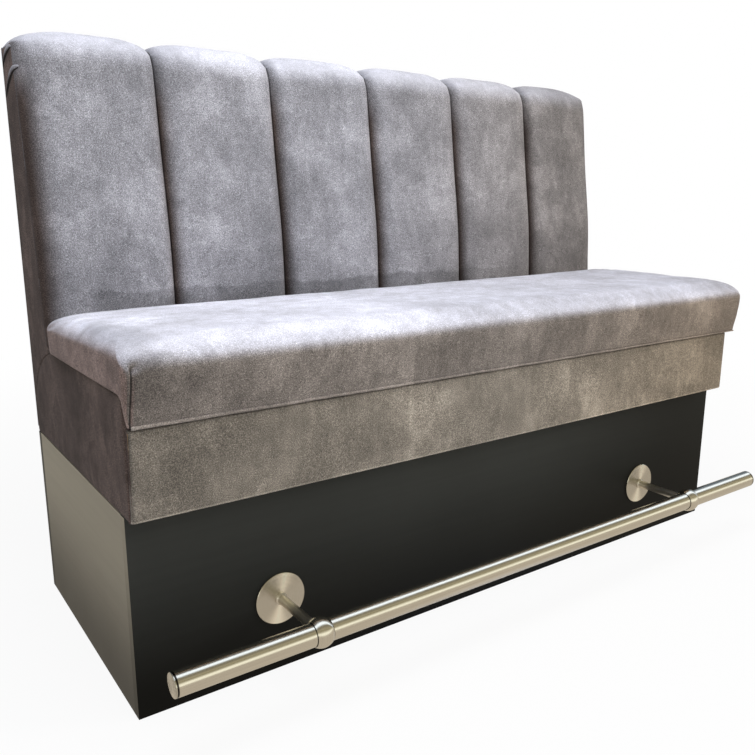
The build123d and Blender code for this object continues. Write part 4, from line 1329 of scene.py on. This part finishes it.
def crease_pad(mesh):
    """Slow waves on the pad, its tilt at the rear, and the grooves of its corner seams."""
    points = coordinates(mesh)
    normals = np.array([v.normal for v in mesh.vertices])
    top = np.clip((points[:, 2] - PAD_BOTTOM) / 0.03, 0, 1)
    push = waves(points, 7.0, 2) * 0.0014 + waves(points, 18.0, 5) * 0.0007
    push *= 0.25 + 0.75 * top
    rear = np.clip((points[:, 1] + 0.15) / 0.25, 0, 1)
    points[:, 2] += top * rear * (points[:, 0] / HALF * 0.006 - 0.001)
    x, y, z = points.T
    front = np.clip((PAD_NOSE + 0.022 - y) / 0.006, 0, 1) * np.clip((0.584 - z) / 0.008, 0, 1)
    left_seam = PAD_SEAM - (PAD_SEAM_TOP - z) * PAD_SEAM_LEAN
    for edge, deep in ((left_seam, 0.0034), (PAD_RIGHT - 0.009, 0.001)):
        push -= np.exp(-((x - edge) / 0.0026) ** 2) * front * deep
    spot = np.array((PAD_SEAM + 0.003, PAD_NOSE + 0.004, 0.5810))
    push -= np.exp(-(np.linalg.norm(points - spot, axis=1) / 0.008) ** 2) * 0.0035
    push[z < LIP_BOTTOM + 0.006] *= 0.3
    push[(z < PAD_BOTTOM + 0.003) & (y > LIP_REAR - 0.001)] = 0
    move_points(mesh, points + normals * push[:, None])


def pad_hem(tone):
    """The hem along the lip's lower edge, which narrows to the right."""
    count = 240
    widths = np.linspace(0.0062, 0.0034, count + 1)
    line = []
    for k, width in enumerate(widths):
        x = PAD_LEFT + 0.0165 + (PAD_RIGHT - PAD_LEFT - 0.0235) * k / count
        wave = noise.noise(Vector((x * 14.0, 0.3, 0))) * 0.0010
        wave += noise.noise(Vector((x * 45.0, 2.3, 0))) * 0.0006
        height = LIP_BOTTOM - 0.0010 + width / 2 + wave * (1.0 - 0.6 * k / count)
        line.append((x, PAD_NOSE + 0.0106 - abs(wave) * 0.4, height))
    points, faces = strip(line, widths, 0.0020, (0, 0, 1))
    finish = velvet("velvet_hem", rgba(tone, 1.3), rgba(tone, 1.15))
    padded_piece("pad_hem", points, faces, finish, "seat_pad")


class BENCH_OT_pad(bpy.types.Operator):
    """Crowned seat pad with its front lip, corner seams and hem"""

    bl_idname = "bench.pad"
    bl_label = "Seat pad"

    def execute(self, context):
        fabric = context.scene.bench_fabric
        tone = rgba(fabric.pad_tone)
        # Painted light: a paler colour where it looks sideways, and a painted sheen on the top.
        finish = velvet(
            "velvet_pad", tone, rgba(tone, 0.93), 0.80, rgba(fabric.shaded_side_tone, 3.9), pad_shade_and_patch,
            pad_seam_shade, nap_share=1.05, rise=(0.0, 0.85),
        )
        rings = PadShape().rings()
        count = rings.shape[1]
        faces = grid_faces(len(rings), count, closed=True) + [tuple(range(count))]
        piece = new_piece(
            "pad_fabric", rings.reshape(-1, 3), faces, finish, "seat_pad",
            ["seat_cover", "seat_lip_pad", "seat_foam"],
        )
        swell(piece, pad_hold(coordinates(piece.data)), fabric.air, PAD_CAP)
        open_underside(piece.data)
        subdivide(piece)
        crease_pad(piece.data)
        pad_hem(tone)
        return {"FINISHED"}


# Boards, rail and rear


def dress(node, finish):
    """Gives a CAD node a finish."""
    node.data.materials.clear()
    node.data.materials.append(finish)


class BENCH_OT_boards(bpy.types.Operator):
    """Laminate, ply and rubber finishes of the frame"""

    bl_idname = "bench.boards"
    bl_label = "Plinth and frame"

    def execute(self, context):
        trim = context.scene.bench_trim
        # Both laminates are painted darker at the foot; the dark one is also painted darker to the
        # right.
        dark = (trim.laminate, 0.1, 0.08, (0.02, PLINTH_TOP), 0.75)
        # The left end is the same board with the floor's reflection painted in, and painted lighter
        # to the rear.
        pale = (trim.laminate_side, 0.24, 0.03, (0.01, 0.30))
        ply = board_finish("ply", (0.52, 0.37, 0.22, 1), (0.36, 0.23, 0.12, 1))
        rear = laminate_finish("laminate_rear", *dark)
        finishes = {
            "plinth_front_panel": laminate_finish("laminate_front", *dark, edge=trim.laminate_side),
            "plinth_rear_panel": rear,
            "plinth_right_panel": rear,
            "plinth_left_panel": laminate_finish("laminate_left", *pale, painted_rear_light=0.28),
            "seat_grip_strips": plain_finish("rubber", (0.03, 0.03, 0.03), 0.75, scale=600.0),
        }
        boards = ("plinth", "box_", "back_", "seat_", "fascia_board", "rail_backing")
        for name, node in NODES.items():
            if name.startswith(boards):
                dress(node, finishes.get(name, ply))
        return {"FINISHED"}


class BENCH_OT_rail(bpy.types.Operator):
    """Brushed steel of the foot rail and zinc of the fixings"""

    bl_idname = "bench.rail"
    bl_label = "Foot rail"

    def execute(self, context):
        trim = context.scene.bench_trim
        tone, rough = trim.steel, trim.steel_roughness
        ends = (0.0, high("foot_rail_tube", X), 0.0024)
        ball = (low("rail_ball_right", X) + high("rail_ball_right", X)) / 2
        rims = (ball, high("rail_ball_right", X) - ball, 0.001)
        tube = steel_finish("steel_tube", (4, 900, 900), tone, rough, joints=ends)
        turned = steel_finish("steel_turned", (1200, 20, 20), tone, rough, joints=rims)
        zinc = plain_finish("zinc", (0.55, 0.54, 0.5), 0.4, 1.0, scale=320.0, depth=0.00008)
        dress(NODES["foot_rail_tube"], tube)
        for _, end in SIDES:
            dress(NODES[f"rail_ball_{end}"], turned)
            post = f"rail_post_{end}"
            dress(NODES[post], steel_finish(f"{post}_steel", (6, 900, 6), tone, 0.32))
            for name in (f"rail_flange_{end}", f"rail_end_cap_{end}"):
                centre = sum(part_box(name), Vector()) / 2
                dress(NODES[name], steel_finish(f"{name}_steel", None, tone, 0.22, centre, 0.0008))
        for name in ("rail_washers", "rail_bolts", "rail_grub_screws", "box_screws", "back_bolts"):
            dress(NODES[name], zinc)
        return {"FINISHED"}


def staple_places(box_low, box_high):
    """Where the dust cloth's staples sit, a little inside its border, and which way they lie."""
    x0, x1, z0, z1 = box_low.x + 0.008, box_high.x - 0.008, box_low.z + 0.008, box_high.z - 0.008
    across, up = int((x1 - x0) / STAPLE_PITCH), int((z1 - z0) / STAPLE_PITCH)
    for k in range(across + 1):
        for z in (z0, z1):
            yield x0 + 0.01 + (x1 - x0 - 0.02) * k / across, z, (1, 0)
    for k in range(1, up):
        for x in (x0, x1):
            yield x, z0 + (z1 - z0) * k / up, (0, 1)


def dust_cloth(box_low, box_high):
    """The stretched cloth on the rear, a little slack in its middle."""
    width, height = box_high.x - box_low.x, box_high.z - box_low.z
    us, vs = np.linspace(0, width, 110), np.linspace(0, height, 56)
    points = []
    for v in vs:
        for u in us:
            edge = min(u, width - u, v, height - v)
            slack = noise.noise(Vector((u * 5, 0.2, v * 5))) * 0.0003 * min(1, edge / 0.1)
            points.append((box_low.x + u, box_high.y - 0.0003 + slack, box_low.z + v))
    piece = new_piece(
        "rear_dust_cloth", points, grid_faces(len(vs), len(us)),
        cloth_finish("dust_cloth", (0.022, 0.022, 0.024), CLOTH_PITCH), "bench",
        ["back_dust_cloth"], False,
    )


def staples(box_low, box_high):
    """The wire staples round the dust cloth, as one piece."""
    points, faces = [], []
    half, crown = STAPLE_LENGTH / 2, box_high.y - 0.0002
    for x, z, (right, up) in staple_places(box_low, box_high):
        line = [
            (x + share * right * half, y, z + share * up * half)
            for share, y in ((-1, REAR), (-1, crown), (1, crown), (1, REAR))
        ]
        more, quads = strip(line, 0.0012, 0.0006, (up, 0, right))
        faces += [tuple(i + len(points) for i in quad_face) for quad_face in quads]
        points += more
    wire = plain_finish("staple_wire", (0.5, 0.5, 0.5), 0.35, 1.0, scale=500.0, depth=0.00005)
    new_piece("dust_cloth_staples", points, faces, wire, "bench")


class BENCH_OT_rear_cloth(bpy.types.Operator):
    """Dust cloth on the rear with its staples, and the fabric edge under it"""

    bl_idname = "bench.rear_cloth"
    bl_label = "Rear cloth"

    def execute(self, context):
        box_low, box_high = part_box("back_dust_cloth")
        dust_cloth(box_low, box_high)
        inset, top, foot = 0.035, RAIL_TOP + TUCK, SEAM_REAR[1] - 0.04
        bands = {
            "rear_turn_top": ((-HALF, HALF), (box_high.z - inset, top)),
            "rear_turn_left": ((-HALF - 0.0004, -HALF + inset), (foot, top)),
            "rear_turn_right": ((HALF - inset, HALF + 0.0004), (foot, top)),
        }
        velvet_edge = bpy.data.materials["velvet_back"]
        for name, (across, along_edge) in bands.items():
            turned_in(name, across, along_edge, 0.0004, on_wall(REAR, 1), velvet_edge)
        staples(box_low, box_high)
        return {"FINISHED"}


# Stage


def aim(obj, target):
    """Points an object's -Z at a place."""
    way = Vector(target) - obj.location
    obj.rotation_mode = "QUATERNION"
    obj.rotation_quaternion = way.to_track_quat("-Z", "Y")


def lamp(name, place, target, size, power, colour):
    """A soft rectangular lamp that no reflection shows."""
    light = bpy.data.lights.new(name, "AREA")
    light.shape, (light.size, light.size_y) = "RECTANGLE", size
    light.energy, light.color = power, colour
    lit = bpy.data.objects.new(name, light)
    bpy.context.scene.collection.objects.link(lit)
    lit.location = place
    lit.visible_glossy = False
    aim(lit, target)


def build_world():
    """White to the camera, plain grey light on surfaces, and soft bands for what shines."""
    world = bpy.data.worlds.new("studio")
    bpy.context.scene.world = world
    world.use_nodes = True
    made = Nodes(world.node_tree)
    made.tree.nodes.clear()
    _, y, z = made.parts(made.node("ShaderNodeTexCoord", out="Generated"))
    share = made.math("ARCTAN2", z, y * -1.0) / math.pi
    haze, light, sky = (1.35, 1.35, 1.15, 1), (0.55, 0.5, 0.36, 1), (1.5, 1.7, 1.9, 1)
    stops = (
        (0.0, (0.85, 0.83, 0.68, 1)), (0.03, haze), (0.10, haze), (0.155, light),
        (0.20, (0.33, 0.31, 0.19, 1)), (0.26, (0.50, 0.45, 0.31, 1)),
        (0.33, (0.27, 0.25, 0.18, 1)), (0.41, (0.25, 0.22, 0.15, 1)), (0.465, sky), (0.56, sky),
        (0.66, (0.2, 0.24, 0.28, 1)), (1.0, (0.10, 0.13, 0.16, 1)),
    )
    bands = made.node("ShaderNodeValToRGB", {"stops": stops}, {"Fac": share})
    backgrounds = [
        made.node("ShaderNodeBackground", sockets={"Color": colour, "Strength": strength})
        for colour, strength in (((0.62, 0.62, 0.64, 1), 0.5), (bands, 1.0), ((1, 1, 1, 1), 1.0))
    ]
    camera_ray = made.node("ShaderNodeLightPath", out="Is Camera Ray")
    seen = made.mix_shaders(camera_ray.output("Is Glossy Ray"), *backgrounds[:2])
    shown = made.math("MAXIMUM", camera_ray, camera_ray.output("Is Transmission Ray"))
    both = made.mix_shaders(shown, seen, backgrounds[2])
    made.node("ShaderNodeOutputWorld", sockets={"Surface": both})


def floor_finish():
    """Pale floor that keeps the bench's shadow, and that metal sees warmer further off."""
    made = Finish("floor")
    speckle = made.noise(40.0, 3.0, 0.6)
    made.surface(
        base_color=made.shade((0.80, 0.80, 0.80), 0.985 + speckle * 0.03),
        roughness=0.7,
        specular_ior_level=0.2,
    )
    far = made.vector("LENGTH", made.place, out="Value")
    camera_ray = made.node("ShaderNodeLightPath", out="Is Camera Ray")
    shown = made.math("MAXIMUM", camera_ray, camera_ray.output("Is Transmission Ray"))
    mirrored = camera_ray.output("Is Glossy Ray") * far.between(0.3, 0.6) * 0.95
    white, warm = (
        made.node("ShaderNodeEmission", sockets={"Color": colour, "Strength": 1.0})
        for colour in ((1, 1, 1, 1), (0.60, 0.54, 0.44, 1))
    )
    mixed = made.mix_shaders(mirrored, Sock(made, made.shader.outputs[0]), warm)
    mixed = made.mix_shaders(shown * (0.91 + far.between(0.9, 3.0) * 0.09), mixed, white)
    made.feed(made.tree.nodes["Material Output"].inputs["Surface"], mixed)
    return made.material


class BENCH_OT_stage(bpy.types.Operator):
    """Pale floor, soft lamps, world and camera"""

    bl_idname = "bench.stage"
    bl_label = "Stage"

    def execute(self, context):
        stage = context.scene.bench_stage
        mesh = bpy.data.meshes.new("floor")
        work = bmesh.new()
        bmesh.ops.create_circle(work, cap_ends=True, segments=96, radius=60.0)
        work.to_mesh(mesh)
        work.free()
        mesh.materials.append(floor_finish())
        floor = bpy.data.objects.new("floor", mesh)
        context.scene.collection.objects.link(floor)
        floor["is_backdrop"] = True
        build_world()
        lamp("key", (5.4, -3.2, 3.0), (0.1, -0.1, 0.75), (2.4, 2.4), stage.key, (1.0, 0.96, 0.90))
        lamp("top", (-0.7, -0.7, 2.9), (-0.2, -0.1, 0.5), (2.2, 1.4), stage.top, (0.95, 0.97, 1.0))
        camera = bpy.data.cameras.new("camera")
        camera.sensor_width, camera.lens = 36.0, stage.lens
        camera.clip_start, camera.clip_end = 0.05, 200.0
        view = bpy.data.objects.new("camera", camera)
        context.scene.collection.objects.link(view)
        view.location = (-1.0682, -1.3883, 0.8113)
        view.rotation_euler = [math.radians(angle) for angle in (77.1, -0.09, -35.09)]
        context.scene.camera = view
        context.scene.view_settings.view_transform = "Standard"
        return {"FINISHED"}


OPERATORS = (
    BENCH_OT_boards, BENCH_OT_rail, BENCH_OT_channels, BENCH_OT_back_sides, BENCH_OT_box_sides,
    BENCH_OT_fascia, BENCH_OT_pad, BENCH_OT_rear_cloth, BENCH_OT_stage,
)
GROUPS = {"bench_fabric": BenchFabric, "bench_trim": BenchTrim, "bench_stage": BenchStage}


class BENCH_PT_panel(bpy.types.Panel):
    """The bench's sizes, colours and pieces"""

    bl_idname = "BENCH_PT_panel"
    bl_label = "Bench"
    bl_space_type = "VIEW_3D"
    bl_region_type = "UI"
    bl_category = "Bench"

    def draw(self, context):
        layout = self.layout
        for name, group in GROUPS.items():
            box = layout.box()
            for key in group.__annotations__:
                box.prop(getattr(context.scene, name), key)
        for operator in OPERATORS:
            layout.operator(operator.bl_idname)


def register():
    for cls in (*GROUPS.values(), *OPERATORS, BENCH_PT_panel):
        bpy.utils.register_class(cls)
    for name, group in GROUPS.items():
        setattr(bpy.types.Scene, name, bpy.props.PointerProperty(type=group))


def unregister():
    for name in GROUPS:
        delattr(bpy.types.Scene, name)
    for cls in (BENCH_PT_panel, *reversed(OPERATORS), *reversed(GROUPS.values())):
        bpy.utils.unregister_class(cls)


def main():
    """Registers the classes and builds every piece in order."""
    register()
    for operator in OPERATORS:
        group, name = operator.bl_idname.split(".")
        getattr(getattr(bpy.ops, group), name)()
    boxes = {"cad": CAD_BOX, "visual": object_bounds()}
    {key: [list(corner) for corner in box] for key, box in boxes.items()}


if __name__ == "__main__":
    main()
